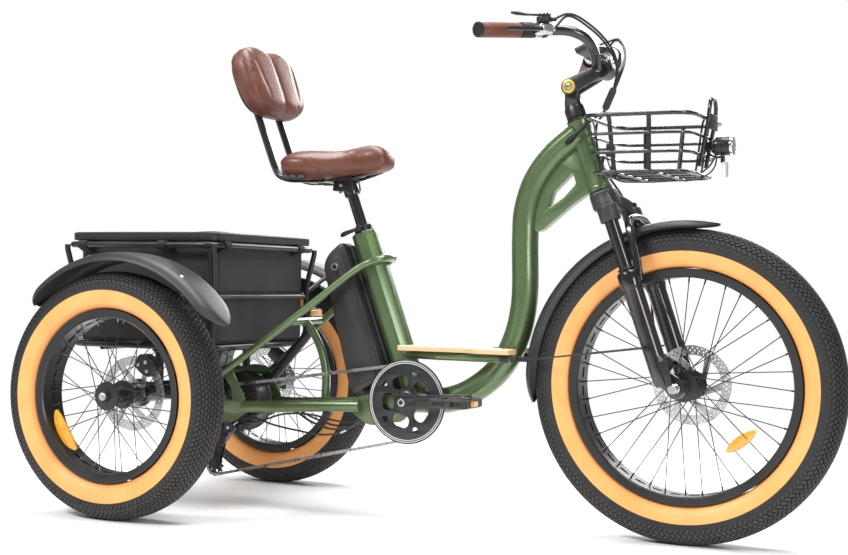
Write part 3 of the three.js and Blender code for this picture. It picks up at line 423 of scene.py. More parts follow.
# straight runs joined by round corners: each corner is a quadratic curve that starts one bend before it
def bentPath(points, bend, steps=7, closed=False):
    p = np.array(points, float)
    n = len(p)
    line = [] if closed else [p[:1]]
    for i in range(0 if closed else 1, n if closed else n - 1):
        before, here, after = p[i - 1], p[i], p[(i + 1) % n]
        near = min(bend, 0.48 * np.linalg.norm(before - here), 0.48 * np.linalg.norm(after - here))
        a = here + (before - here) / np.linalg.norm(before - here) * near
        b = here + (after - here) / np.linalg.norm(after - here) * near
        t = np.linspace(0, 1, steps)[:, None]
        line.append((1 - t) ** 2 * a + 2 * t * (1 - t) * here + t ** 2 * b)
    if not closed:
        line.append(p[-1:])
    return np.vstack(line)


def circle(radius, sides):
    a = np.arange(sides) / sides * 2 * np.pi
    return np.stack([np.cos(a), np.sin(a)], -1) * radius


# a profile carried along a path; its first axis starts out along `across` and turns only as the path does
def sweepShape(path, profile, across=(0, 1, 0), scale=None, closed=False):
    path = np.asarray(path, float)
    if closed:
        tangent = np.roll(path, -1, 0) - np.roll(path, 1, 0)
    else:
        tangent = np.gradient(path, axis=0)
    tangent /= np.linalg.norm(tangent, axis=1)[:, None]
    side = np.array(across, float)
    if abs(side @ tangent[0]) > 0.95:
        side = np.array((1.0, 0, 0)) if abs(tangent[0][0]) < 0.9 else np.array((0, 0, 1.0))
    sidesAlong = []
    for t in tangent:
        side = side - (side @ t) * t
        side /= np.linalg.norm(side)
        sidesAlong.append(side)
    sidesAlong = np.array(sidesAlong)
    upAlong = np.cross(tangent, sidesAlong)
    profile = np.asarray(profile, float)
    profiles = profile[None] if scale is None else profile[None] * np.asarray(scale, float).reshape(len(path),
                                                                                                    1, -1)
    points = path[:, None] + profiles[..., :1] * sidesAlong[:, None] + profiles[..., 1:] * upAlong[:, None]
    return gridShape(points, closeRows=closed, closeColumns=True, ends=not closed)


def tubeShape(points, radius, sides=16, bend=None, count=None, closed=False, across=(0, 1, 0)):
    if count:
        path = splinePath(points, count)
    else:
        path = bentPath(points, bend, closed=closed) if bend else np.array(points, float)
    return sweepShape(path, circle(1, sides) * radius, across, closed=closed)


# many thin rods at once: starts and ends are (n, 3)
def rodsShape(starts, ends, radius, sides=6):
    starts, ends = np.atleast_2d(np.asarray(starts, float)), np.atleast_2d(np.asarray(ends, float))
    along = ends - starts
    along /= np.linalg.norm(along, axis=1)[:, None]
    helper = np.where(np.abs(along[:, 1:2]) < 0.9, [[0, 1.0, 0]], [[1.0, 0, 0]])
    side = np.cross(along, helper)
    side /= np.linalg.norm(side, axis=1)[:, None]
    up = np.cross(along, side)
    ring = circle(1, sides)
    radius = np.broadcast_to(np.asarray(radius, float), (len(starts),))[:, None, None]
    rim = (ring[None, :, :1] * side[:, None] + ring[None, :, 1:] * up[:, None]) * radius
    points = np.concatenate([starts[:, None] + rim, ends[:, None] + rim], 1)
    base = np.arange(len(starts))[:, None, None] * 2 * sides
    k = np.arange(sides)
    quads = np.stack([k, (k + 1) % sides, (k + 1) % sides + sides, k + sides], -1)[None] + base
    caps = np.stack([k[::-1], k + sides])[None] + base
    return points.reshape(-1, 3), [quads.reshape(-1, 4), caps.reshape(-1, sides)]


# a closed profile of (radius, y) turned about the line along Y through the centre (x, z)
def turnShape(profile, segments, centre=(0, 0), start=0.0, end=360.0):
    profile = np.array(profile, float)
    whole = abs(end - start) >= 360
    a = np.radians(np.linspace(start, end, segments, endpoint=not whole))[:, None]
    r, y = profile[None, :, 0], profile[None, :, 1]
    points = np.stack([centre[0] + r * np.cos(a), y + 0 * a, centre[1] + r * np.sin(a)], -1)
    return gridShape(points, closeRows=whole, closeColumns=True, ends=not whole)


# flat outlines given a thickness: the first outline is solid, the rest are holes;
# place has the origin and the three axes as columns
def plateShape(outlines, thickness, place=None, bevel=0.0):
    curve = bpy.data.curves.new("outline", "CURVE")
    curve.dimensions, curve.fill_mode = "2D", "BOTH"
    curve.extrude, curve.bevel_depth, curve.offset = max(thickness / 2 - bevel, 0.001), bevel, -bevel
    curve.bevel_resolution = 1
    for outline in outlines:
        line = curve.splines.new("POLY")
        line.points.add(len(outline) - 1)
        table = np.zeros((len(outline), 4))
        table[:, :2] = outline
        table[:, 3] = 1
        line.points.foreach_set("co", table.ravel())
        line.use_cyclic_u = True
    holder = bpy.data.objects.new("outline", curve)
    scene.collection.objects.link(holder)
    mesh = bpy.data.meshes.new_from_object(holder.evaluated_get(bpy.context.evaluated_depsgraph_get()))
    points = np.zeros(len(mesh.vertices) * 3)
    mesh.vertices.foreach_get("co", points)
    points = points.reshape(-1, 3)
    faces = [np.array([list(p.vertices)]) for p in mesh.polygons]
    bpy.data.objects.remove(holder)
    bpy.data.curves.remove(curve)
    bpy.data.meshes.remove(mesh)
    shape = (points, faces)
    return shape if place is None else moved(shape, place)


def basis(origin, u, v, w):
    return np.array([[u[i], v[i], w[i], origin[i]] for i in range(3)] + [[0, 0, 0, 1]], float)


def inXZ(y, origin=(0, 0)):
    return basis((origin[0], y, origin[1]), (1, 0, 0), (0, 0, 1), (0, -1, 0))


def inXY(z, origin=(0, 0)):
    return basis((origin[0], origin[1], z), (1, 0, 0), (0, 1, 0), (0, 0, 1))


def boxShape(x, y, z):
    points = np.array([[a, b, c] for a in x for b in y for c in z], float)
    return points, [np.array([[0, 1, 3, 2], [4, 6, 7, 5], [0, 4, 5, 1], [2, 3, 7, 6], [0, 2, 6, 4],
                              [1, 5, 7, 3]])]


def roundedRect(halfX, halfY, r, centre=(0, 0), steps=8):
    a = np.radians(np.linspace(0, 90, steps))
    corners = []
    for k, (sx, sy) in enumerate(((1, 1), (-1, 1), (-1, -1), (1, -1))):
        t = a + k * np.pi / 2
        corners.append(np.stack([centre[0] + sx * (halfX - r) + r * np.cos(t),
                                 centre[1] + sy * (halfY - r) + r * np.sin(t)], -1))
    return np.vstack(corners)


# outline with round ends about two points
def linkOutline(a, b, ra, rb, steps=10):
    a, b = np.array(a, float), np.array(b, float)
    turn = math.atan2(*(b - a)[::-1])
    back = turn + np.linspace(np.pi / 2, 1.5 * np.pi, steps)
    front = turn + np.linspace(-np.pi / 2, np.pi / 2, steps)
    around = lambda c, r, t: c + r * np.stack([np.cos(t), np.sin(t)], -1)
    return np.vstack([around(a, ra, back), around(b, rb, front)])


def arcPoints(centre, r, start, end, steps):
    a = np.radians(np.linspace(start, end, steps))
    return np.stack([centre[0] + r * np.cos(a), centre[1] + r * np.sin(a)], -1)


# a named piece: its shapes made one mesh in metres, closed seams merged, faces turned outwards,
# edges over the angle kept sharp
def piece(name, shapes, look, body, replaced=(), sharp=38, bevel=0.0, wall=0.0, smooth=0,
          merge=0.02):
    points, faces = combine(shapes if isinstance(shapes, list) else [shapes])
    mesh = bpy.data.meshes.new(name)
    inFrame = (points - (midLength, 0, 0)) * 0.001
    mesh.from_pydata(inFrame.tolist(), [], [row for table in faces for row in table.tolist()])
    work = bmesh.new()
    work.from_mesh(mesh)
    if merge:
        bmesh.ops.remove_doubles(work, verts=work.verts, dist=merge * 0.001)
        bmesh.ops.dissolve_degenerate(work, dist=1e-6, edges=work.edges)
    bmesh.ops.recalc_face_normals(work, faces=work.faces)
    work.to_mesh(mesh)
    work.free()
    mesh.shade_smooth()
    mesh.set_sharp_from_angle(angle=math.radians(sharp))
    mesh.materials.append(finishes[look])
    made = bpy.data.objects.new(name, mesh)
    scene.collection.objects.link(made)
    if wall:
        solid = made.modifiers.new("wall", "SOLIDIFY")
        solid.thickness, solid.offset = wall * 0.001, 0
    if bevel:
        edge = made.modifiers.new("edge", "BEVEL")
        edge.width, edge.segments = bevel * 0.001, 2
        edge.limit_method, edge.angle_limit = "ANGLE", math.radians(sharp)
        edge.harden_normals = True
    if smooth:
        made.modifiers.new("smooth", "SUBSURF").levels = smooth
        made.modifiers["smooth"].render_levels = smooth
    if body:
        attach(made, body)
    if replaced:
        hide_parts(*([replaced] if isinstance(replaced, str) else replaced))
    return made


# frames of the steering and the seat tube, in millimetres
def leaning(degrees, x, z):
    a = math.radians(degrees)
    up, ahead = (-math.sin(a), 0, math.cos(a)), (math.cos(a), 0, math.sin(a))
    return basis((x, 0, z), ahead, (0, 1, 0), up)


steerPlace = leaning(19.3, 1066, 791)
seatPlace = leaning(20.4, 612, 286)
bracketAt = (612, 286)


def at(place, point):
    return (np.array(place) @ np.array([*point, 1.0]))[:3]


# wheels
wheels = {
    "front": {"centre": (1274, 0, 350), "radius": 350, "tan": 300, "body": "front_wheel",
              "tyre": "front_tyre", "wheel": "front_wheel",
              "rotor": "front_rotor", "rotorY": (47.5, 49.5), "bore": 24, "spokes": 36,
              "flanges": (-30.5, 30.5)},
    "rear_right": {"centre": (0, -376.5, 292), "radius": 292, "tan": 249, "body": "rear_wheel_right",
                   "tyre": "rear_tyre_right",
                   "wheel": "rear_wheel_right", "rotor": "rear_rotor_right", "rotorY": (71, 73), "bore": 23,
                   "spokes": 36, "flanges": (-29.5, 29.5)},
    "rear_left": {"centre": (0, 376.5, 292), "radius": 292, "tan": 249, "body": "rear_wheel_left",
                  "tyre": "rear_tyre_left",
                  "wheel": "rear_wheel_left", "rotor": "rear_rotor_left", "rotorY": (-73, -71), "bore": 23,
                  "spokes": 36, "flanges": (-29.5, 29.5)},
}
tyreShape = {"halfWidth": 50, "beadDrop": 87.6, "blockHeight": 3.4, "pitch": 13.4, "rows": 11}


# tyre wall finish: tan below the given radius, black rubber above it, with fine moulded rings
def tyreFinish(name, centre, tanRadius):
    def zones(tree, s):
        apart = node(tree, "ShaderNodeVectorMath", {0: s["at"], 1: centre},
                     operation="SUBTRACT").outputs["Vector"]
        flat = node(tree, "ShaderNodeVectorMath", {0: apart, 1: (1, 0, 1)},
                    operation="MULTIPLY").outputs["Vector"]
        radius = node(tree, "ShaderNodeVectorMath", {0: flat}, operation="LENGTH").outputs["Value"]
        isBlack = node(tree, "ShaderNodeMapRange", {"Value": radius, "From Min": tanRadius - 0.0005,
                                                    "From Max": tanRadius + 0.0005}).outputs["Result"]
        stain = node(tree, "ShaderNodeTexNoise", {"Vector": s["at"], "Scale": 14.0,
                                                  "Detail": 5.0}).outputs["Fac"]
        tan = ramp(tree, stain, [(0.25, (0.86, 0.36, 0.10)), (0.75, (0.95, 0.44, 0.145))])
        bead = node(tree, "ShaderNodeMapRange", {"Value": radius, "From Min": tanRadius - 0.038,
                                                 "From Max": tanRadius - 0.03, "To Min": 0.4,
                                                 "To Max": 0.0}).outputs["Result"]
        tan = rgbMix(tree, bead, tan, (0.55, 0.17, 0.03, 1))
        rings = mathOf(tree, "SINE", mathOf(tree, "MULTIPLY", radius, 5200.0))
        rough = rgbMix(tree, isBlack, (0.48, 0.48, 0.48, 1), (0.72, 0.72, 0.72, 1))
        return {
            "colour": rgbMix(tree, isBlack, tan, s["colour"]),
            "roughness": rough,
            "height": mathOf(tree, "ADD", mathOf(tree, "MULTIPLY", rings, 0.12), s["height"]),
        }

    return finish(name, (0.013, 0.013, 0.013), (0.021, 0.021, 0.021), 0.72, 0.0, 0.05, 1500, 26, 0.3, 0.0002,
                  dust=0.0, extra=zones)


# cross-section: squared ellipse below the widest line, rounder ellipse above it;
# t runs from bead to bead in degrees
def tyreLine(radius, t, lift=0.0):
    t = np.radians(t)
    below = np.sin(t) < 0
    middle, halfHeight = radius - 46, 43.4
    y = tyreShape["halfWidth"] * np.sign(np.cos(t)) * np.abs(np.cos(t)) ** np.where(below, 0.42, 0.78)
    r = middle + halfHeight * np.sin(t)
    norm = np.stack([np.sin(t), np.cos(t)], -1)
    return np.stack([r, y], -1) + norm * np.asarray(lift).reshape(-1, 1)


def treadBlocks(radius, centre):
    count = int(round(2 * np.pi * radius / tyreShape["pitch"]))
    shapes = []
    bands = [(90 + k * 9.6, 3.9, 0.36 if k % 2 else 0.40, 0.5 * (k % 2), tyreShape["blockHeight"])
             for k in range(-5, 6)]
    bands += [(31.0, 5.6, 0.34, 0.0, 2.6), (149.0, 5.6, 0.34, 0.0, 2.6), (17.5, 6.4, 0.2, 0.5, 1.6),
              (162.5, 6.4, 0.2, 0.5, 1.6)]
    for middle, reach, share, shift, tall in bands:
        low = tyreLine(radius, np.array([middle - reach, middle + reach]), -1.0)
        high = tyreLine(radius, np.array([middle - reach * 0.86, middle + reach * 0.86]), tall)
        step = 2 * np.pi / count
        a = (np.arange(count) + shift)[:, None] * step + np.array([[-share, share]]) * step
        b = (np.arange(count) + shift)[:, None] * step + np.array([[-share, share]]) * step * 0.86
        skew = 0.22 * step * (1 if shift else -1)
        corners = []
        for line, turn in ((low, a), (high, b)):
            for j in (0, 1):
                for side in (0, 1):
                    angle = turn[:, j] + skew * (1 if side else -1)
                    r, y = line[side]
                    corners.append(np.stack([centre[0] + r * np.cos(angle), centre[1] + y + 0 * angle,
                                             centre[2] + r * np.sin(angle)], -1))
        points = np.stack(corners, 1).reshape(-1, 3)
        box = np.array([[0, 1, 3, 2], [4, 6, 7, 5], [0, 4, 5, 1], [2, 3, 7, 6], [0, 2, 6, 4], [1, 5, 7, 3]])
        shapes.append((points, [(box[None] + np.arange(count)[:, None, None] * 8).reshape(-1, 4)]))
    return combine(shapes)


# rim bed with a row of long holes: each cell goes from a hole's edge out to the cell's edge,
# then the hole's wall goes inwards
def slottedBed(radius, halfWidth, count, hole, centre, depth=2.0):
    k = 6
    edge = np.linspace(-1, 1, k, endpoint=False)
    square = np.concatenate([np.stack([edge, -1 + 0 * edge], -1), np.stack([1 + 0 * edge, edge], -1),
                             np.stack([-edge, 1 + 0 * edge], -1), np.stack([-1 + 0 * edge, -edge], -1)])
    angle = np.arctan2(square[:, 1], square[:, 0])
    straight = hole[0] - hole[1]
    oval = np.stack([hole[1] * np.cos(angle) + straight * np.clip(np.cos(angle) * 1.6, -1, 1),
                     hole[1] * np.sin(angle)], -1)
    cell = np.pi * radius / count
    outer = square * (cell, halfWidth)
    rings = np.stack([outer, oval, oval])
    radii = np.array([radius, radius, radius + depth])[:, None]
    turn = (np.arange(count) + 0.5) / count * 2 * np.pi
    theta = turn[:, None, None] + (rings[..., 0] / radius)[None]
    points = np.stack([centre[0] + radii * np.cos(theta), centre[1] + rings[..., 1] + 0 * theta,
                       centre[2] + radii * np.sin(theta)], -1)
    m = len(square)
    j = np.arange(m)
    quads = np.concatenate([np.stack([j + r * m, (j + 1) % m + r * m, (j + 1) % m + (r + 1) * m,
                                      j + (r + 1) * m], -1) for r in (0, 1)])
    return points.reshape(-1, 3), [(quads[None] + np.arange(count)[:, None, None] * 3 * m).reshape(-1, 4)]


def turnedAt(centre, profile, segments=96):
    return turnShape([(r, centre[1] + y) for r, y in profile], segments, (centre[0], centre[2]))


def rotorShape(centre, yRange, bore, outward):
    waves = 72
    a = np.arange(waves * 2) / (waves * 2) * 2 * np.pi
    rim = np.stack([np.cos(a), np.sin(a)], -1) * (89.4 + 0.5 * np.cos(a * 12))[:, None]
    outlines = [rim]
    for i in range(6):  # windows between the slanted arms
        start = i * 60
        outlines.append(np.vstack([arcPoints((0, 0), 68, start + 6, start + 52, 10),
                                   arcPoints((0, 0), 34, start + 20, start - 12, 7)]))
    outlines.append(circle(bore, 28))
    for r, n, size, shift in ((84.3, 48, 1.7, 0), (78.6, 48, 2.0, 0.5), (72.6, 36, 1.7, 0)):
        for i in range(n):
            t = (i + shift) / n * 2 * np.pi
            outlines.append(circle(size, 7) + (r * np.cos(t), r * np.sin(t)))
    middle = centre[1] + sum(yRange) / 2
    bolts = []
    for i in range(6):
        t = i * np.pi / 3 + 0.3
        spot = np.array([centre[0] + 28.5 * np.cos(t), middle, centre[2] + 28.5 * np.sin(t)])
        bolts.append(rodsShape(spot - (0, outward * 1, 0), spot + (0, outward * 2.6, 0), 3.6, 6))
    return combine([plateShape(outlines, 1.9, inXZ(middle, (centre[0], centre[2]))), *bolts])


def buildWheel(name, w):
    centre, radius = w["centre"], w["radius"]
    rimEdge = radius - 88
    t = np.linspace(-70, 250, 88)
    outer = tyreLine(radius, t)
    inner = tyreLine(radius, t[::-1], -3.5)
    look = name + "Tyre"
    row = [(c - (midLength if i == 0 else 0)) * 0.001 for i, c in enumerate(centre)]
    finishes[look] = tyreFinish(look, tuple(row), w["tan"] * 0.001)
    piece("tyre_" + name, turnedAt(centre, np.vstack([outer, inner]), 160), look, w["body"], w["tyre"],
          sharp=60)
    piece("tread_" + name, treadBlocks(radius, centre), "tread", w["body"], sharp=30,
          merge=0)
    # rim: hooked edges, sloped sides and a bed with one long hole for each spoke
    bed = rimEdge - 20
    side = [(bed, 33.5), (bed + 3, 37.4), (rimEdge - 6, 39.2), (rimEdge - 1, 39.6), (rimEdge, 38.6),
            (rimEdge - 0.6, 37.0), (rimEdge - 8, 36.4), (bed + 5, 33.6), (bed + 1.6, 32.0)]
    shapes = [slottedBed(bed, 33.5, w["spokes"], (13.0, 6.4), centre)]
    shapes += [turnedAt(centre, side, 144), turnedAt(centre, [(r, -y) for r, y in side], 144)]
    strip = [(bed + 2.2, -32), (bed + 2.2, 32), (bed + 3.4, 32), (bed + 3.4, -32)]
    shapes.append(turnedAt(centre, strip, 96))
    piece("rim_" + name, shapes, "satin", w["body"], w["wheel"], sharp=32)
    # laced spokes: each leaves its flange on a slant and crosses its neighbours
    n = w["spokes"]
    i = np.arange(n)
    rimTurn = (i + 0.0) / n * 2 * np.pi
    lean = np.where((i // 2) % 2 == 0, 1, -1) * np.radians(58)
    flangeY = np.where(i % 2 == 0, w["flanges"][0], w["flanges"][1])
    hubTurn = rimTurn + lean
    hubR = 29.0
    starts = np.stack([centre[0] + hubR * np.cos(hubTurn), centre[1] + flangeY,
                       centre[2] + hubR * np.sin(hubTurn)], -1)
    rimY = np.where(i % 2 == 0, -9.0, 9.0)
    ends = np.stack([centre[0] + bed * np.cos(rimTurn), centre[1] + rimY, centre[2] + bed * np.sin(rimTurn)],
                    -1)
    piece("spokes_" + name, rodsShape(starts, ends, 1.15, 6), "satin", w["body"], merge=0)
    toward = (starts - ends) / np.linalg.norm(starts - ends, axis=1)[:, None]
    nippleLook = "satin" if name == "front" else "steel"
    piece("nipples_" + name, rodsShape(ends - toward * 1.0, ends + toward * 11, 2.0, 6), nippleLook,
          w["body"], merge=0)
    elbows = rodsShape(starts - (0, 3.2, 0), starts + (0, 3.2, 0), 2.0, 6)
    if name == "front":
        hub = [(5.8, -66), (11, -66), (13, -64), (13, -46), (17, -40), (17, -35), (33, -33.5), (34, -31),
               (33, -28), (20, -25), (18, -12), (18, 12), (20, 25),
               (33, 28), (34, 30.5), (33, 33), (23, 34.5), (22, 46), (23, 53), (13, 54), (13, 66), (5.8, 66)]
    else:
        hub = [(0.05, -46), (10, -46), (12, -44), (14, -34), (33, -32), (34, -30), (33, -28), (19, -25),
               (18, -12), (18, 12), (19, 25), (33, 28), (34, 31), (33, 34),
               (22, 36), (21, 80), (10.5, 82), (9.8, 84), (9.8, 212), (0.05, 212)]
        if name == "rear_left":
            hub = [(r, -y) for r, y in hub]
    piece("hub_" + name, [turnedAt(centre, hub, 48), elbows], "satin", w["body"], sharp=32)
    if name != "front":
        out = math.copysign(1, centre[1])  # away from the machine's middle
        face = centre[1] + out * 46
        nut = [turnedAt(centre, [(0.05, out * 52), (4.4, out * 52), (5.0, out * 51), (5.0, out * 45),
                                 (0.05, out * 45)][::int(-out)], 24)]
        washer = [(5.2, out * 47.4), (9.6, out * 47.4), (9.9, out * 46.9), (9.9, out * 45.6),
                  (5.2, out * 45.6)]
        nut.append(turnedAt(centre, washer[::int(-out)], 40))
        nut.append(rodsShape([(centre[0], face, centre[2])], [(centre[0], face + out * 4.4, centre[2])], 7.6,
                             6))
        piece("axle_nut_" + name, nut, "steel", w["body"], sharp=34)
    outward = 1 if w["rotorY"][0] > 0 else -1
    piece("rotor_" + name, rotorShape(centre, w["rotorY"], w["bore"], outward), "rotorSteel", w["body"],
          w["rotor"], sharp=30)
    # reflector clipped between two spokes
    turn = math.radians({"front": -42, "rear_right": 214, "rear_left": 214}[name])
    out = np.array([math.cos(turn), 0, math.sin(turn)])
    across = np.array([-math.sin(turn), 0, math.cos(turn)])
    spot = np.array(centre) + out * (bed - (72 if name == "front" else 58)) + (0,
            -13 if centre[1] <= 0 else 13, 0)
    if name == "front":  # a long oval across the spokes
        way = np.array((math.cos(math.radians(38)), 0, math.sin(math.radians(38))))
        t = np.radians(np.arange(0, 360, 9))
        lens = np.stack([41 * np.cos(t), 13 * np.sign(np.sin(t)) * np.abs(np.sin(t)) ** 1.25], -1)
        place = basis(spot, way, np.cross((0, 1, 0), way), (0, 1, 0))
    else:  # a leaf bent along the rim
        t = np.linspace(-1, 1, 26)
        wide = 13 * (1 - np.abs(t) ** 3) + 3
        mid = bed - 18
        turns = turn + t * 56 / mid
        rim = [np.stack([(mid + k * wide) * np.cos(turns), (mid + k * wide) * np.sin(turns)], -1)
               for k in (1, -1)]
        lens = np.vstack([rim[0], rim[1][::-1]])
        place = basis((centre[0], spot[1], centre[2]), (1, 0, 0), (0, 0, 1), (0, -1, 0))
    piece("reflector_" + name, plateShape([lens], 6, place, 1.4), "amber", w["body"],
          sharp=50)


for wheelName, wheel in wheels.items():
    buildWheel(wheelName, wheel)
print("wheels laced and tyres moulded")
# green frame
def rounded(outline, bend, steps=5):
    flat = np.array(outline, float)
    return bentPath(np.hstack([flat, np.zeros((len(flat), 1))]), bend, steps, closed=True)[:, :2]


def both(y, shape):
    return combine([shape(y), shape(-y)])


# a bead of weld round a joint: a thin ring with a rippled section, r = bead (1 + 0.25 sin(k t))
def weldRing(centre, axis, radius, bead=1.5, ripples=46):
    axis = np.array(axis, float) / np.linalg.norm(axis)
    across = np.array((1.0, 0, 0) if abs(axis[1]) > 0.9 else (0, 1.0, 0))
    side = across - (across @ axis) * axis
    side /= np.linalg.norm(side)
    up = np.cross(axis, side)
    t = np.linspace(0, 2 * np.pi, ripples * 4, endpoint=False)
    ring = np.array(centre) + radius * (np.cos(t)[:, None] * side + np.sin(t)[:, None] * up)
    return sweepShape(ring, circle(bead, 6), axis, 1 + 0.22 * np.sin(ripples * t), closed=True)


mainTube = {
    "path": [(1014, 0, 919), (954, 0, 869), (910, 0, 809), (888, 0, 740), (885, 0, 676), (885, 0, 524),
             (865, 0, 438),
             (826, 0, 370), (761, 0, 317), (700, 0, 292), (612, 0, 286)],
    "radius": 31, "crease": 2.0, "creaseWidth": 0.17, "sides": 72, "steps": 190,
}


# drawn tube: r = R + ridge - crease exp(-(angle from the side / width)^2) on both sides
def creasedProfile(look):
    t = np.arange(look["sides"]) / look["sides"] * 2 * np.pi
    low = sum(np.exp(-(np.angle(np.exp(1j * (t - side))) / look["creaseWidth"]) ** 2)
              for side in (0.0, np.pi))
    ridge = sum(np.exp(-(np.angle(np.exp(1j * (t - side))) / 0.12) ** 2)
                for side in (0.42, -0.42, np.pi - 0.42, np.pi + 0.42))
    r = look["radius"] - look["crease"] * low + 0.5 * ridge
    return np.stack([np.cos(t), np.sin(t)], -1) * r[:, None]


mainPath = splinePath(mainTube["path"], mainTube["steps"])
headProfile = rounded([(-24.5, -9), (-17, -21), (0, -24.5), (17, -21), (24.5, -9), (24.5, 9), (17, 21),
                       (0, 24.5), (-17, 21), (-24.5, 9)], 5, 4)
headPath = [at(steerPlace, (0, 0, w)) for w in (6, 12, 20, 80, 140, 152, 158, 164)]
headScale = [1.08, 1.08, 1.0, 1.0, 1.0, 1.0, 1.07, 1.07]
lowerCup = [(19, -5), (26.6, -5), (27.6, -3.5), (27.8, 0), (27.6, 5), (26, 8), (19, 8)]


def aroundLean(profile, segments, place):  # (radius, height along the leaning axis)
    shape = turnShape(profile, segments)
    return moved((shape[0][:, [0, 2, 1]], shape[1]), place)


piece("main_tube", [sweepShape(mainPath, creasedProfile(mainTube))], "paint", "frame", "main_frame",
      sharp=60)
piece("head_tube", [sweepShape(headPath, headProfile, (0, 1, 0), headScale),
                    aroundLean(lowerCup, 48, steerPlace)],
      "paint", "frame", sharp=34, bevel=0.6)

gusset = {
    "outline": [(1026, 892), (1062, 800), (1047, 784), (1000, 752), (925, 690), (896, 700), (905, 790),
                (970, 870)],
    "window": [(1003, 828), (1012, 803), (985, 774), (946, 748), (957, 784)],
}
gussetEdge = rounded(gusset["outline"], 14)
piece("gusset_plate", [plateShape([gussetEdge, rounded(gusset["window"], 6)], 26, inXZ(0), 2.6)], "paint",
      "frame", sharp=40)

seatTube = {"half": 31, "length": 431, "bevel": 4.0}
flat = seatTube["half"] * math.tan(math.pi / 8)
octagon = [(31, -flat), (31, flat), (flat, 31), (-flat, 31), (-31, flat), (-31, -flat), (-flat, -31),
           (flat, -31)]
tubeEnds = [at(seatPlace, (0, 0, w)) for w in (-6, 0, 420, 428, 431)]
piece("seat_tube", [sweepShape(tubeEnds, rounded(octagon, seatTube["bevel"], 4), (0, 1, 0),
                               [1, 1, 1, 1, 0.97])], "paint", "frame",
      sharp=20)

shell = [(19, -36), (24, -36), (24.6, -35), (24.6, 35), (24, 36), (19, 36)]
crossRail = tubeShape([(850, -58, 397.5), (850, 58, 397.5)], 8)
rails = [bothSides(tubeShape([(575, 15, 397.5), (690, 50, 397.5)], 10)),
         bothSides(tubeShape([(684, 48, 397.5), (880, 60, 397.5)], 10)), crossRail]
piece("board_rails", rails, "paint", "frame", bevel=0.8)
piece("crank_shell", [turnShape(shell, 56, bracketAt)], "paint", "frame", bevel=0.6)

stayPath = [(100, -127, 312), (230, -100.7, 413), (360, -74.4, 515), (476, -50.8, 605), (505, -46, 619),
            (527, -28, 627), (534, 0, 629)]
stayPath += [(x, -y, z) for x, y, z in stayPath[-2::-1]]
chainStay = [(480, -44, 268.5), (472, -44, 268), (330, -48, 261), (230, -64, 255), (170, -86, 253)]
carrier = [(180, 236), (180, 272), (140, 345), (95, 350), (40, 335), (-20, 333), (-40, 292), (-20, 250),
           (50, 243), (78, 236), (92, 212), (140, 212)]
carrierHole = [(142, 268), (146, 288), (122, 322), (100, 326), (96, 318), (124, 274)]
bracketPlate = [(583, 300), (583, 262), (556, 226), (500, 222), (455, 250), (452, 283), (500, 298)]
braceTube = [(300, 0, 468), (324, 0, 437), (342, 0, 405), (355, 0, 366), (360, 0, 330), (358, 0, 262)]
rear = [
    tubeShape(stayPath, 9, 20, count=190),
    bothSides(tubeShape(chainStay, 15, 24, count=60)),
    bothSides(tubeShape([(100, 86, 312), (100, 134, 312)], 9)),
    tubeShape([(300, -86, 468), (300, 86, 468)], 9),
    tubeShape([(452, -44, 264), (452, 44, 264)], 9), tubeShape([(358, -47, 262), (358, 47, 262)], 9),
    tubeShape(braceTube, 10, 20, count=60),
]
piece("rear_stays", rear, "paint", "frame", "rear_frame", sharp=50)
plates = [both(87, lambda y: plateShape([rounded(carrier, 12), rounded(carrierHole, 5)], 6, inXZ(y), 1.0)),
          both(39, lambda y: plateShape([rounded(bracketPlate, 16)], 4.8, inXZ(y), 1.0))]
piece("frame_plates", plates, "paint", "frame", sharp=40)
welds = [
    weldRing((300, 0, 458), (0.2, 0, -1), 10.4, 1.3), weldRing((452, -34, 264), (0, 1, 0), 9.3, 1.2),
    weldRing((452, 34, 264), (0, 1, 0), 9.3, 1.2),
    weldRing((358, 0, 270), (0, 0, 1), 10.3, 1.3), weldRing((300, -79, 468), (0, 1, 0), 9.3, 1.2),
    weldRing((300, 79, 468), (0, 1, 0), 9.3, 1.2),
    weldRing((100, -120, 312), (0, 1, 0), 9.3, 1.2), weldRing((100, 120, 312), (0, 1, 0), 9.3, 1.2),
    weldRing(at(seatPlace, (0, 0, 24)), (-0.35, 0, 0.94), 32.4, 1.7, 70),
    weldRing((646, 0, 288), (1, 0, 0.06), 31.6, 1.7, 70),
]
piece("weld_beads", welds, "paint", "frame", sharp=60)

# black parts behind: axle housing with end flanges, drive bulge, struts
housing = [(15, -285), (33, -285), (34, -284), (34, -274), (33, -273), (26, -272), (24, -268), (24, -150),
           (24, 92), (30, 97), (49, 99), (50, 102),
           (50, 146), (49, 149), (30, 151), (24, 156), (24, 268), (26, 272), (33, 273), (34, 274), (34, 284),
           (33, 285), (15, 285)]
flangeBolts = [
    rodsShape([(25 * math.cos(a), s * 285, 292 + 25 * math.sin(a))],
              [(25 * math.cos(a), s * 289, 292 + 25 * math.sin(a))], 3.6, 6)
    for a in np.arange(6) * np.pi / 3 for s in (-1, 1)
]
struts = [bothSides(tubeShape([(0, 200, 292), (0, 200, 388)], 11)),
          tubeShape([(4, 70, 304), (156, 70, 304)], 12),
          tubeShape([(146, 68, 297), (278, 66, 444)], 12), bothSides(tubeShape([(20, 104, 318),
                                                                                (128, 74, 318)], 7))]
piece("axle_housing_shell", [turnShape(housing, 56, (0, 292)), *flangeBolts], "satin", "frame",
      "axle_housing", sharp=34, bevel=0.5)
piece("axle_struts", struts[:3], "satin", "frame", bevel=0.8)


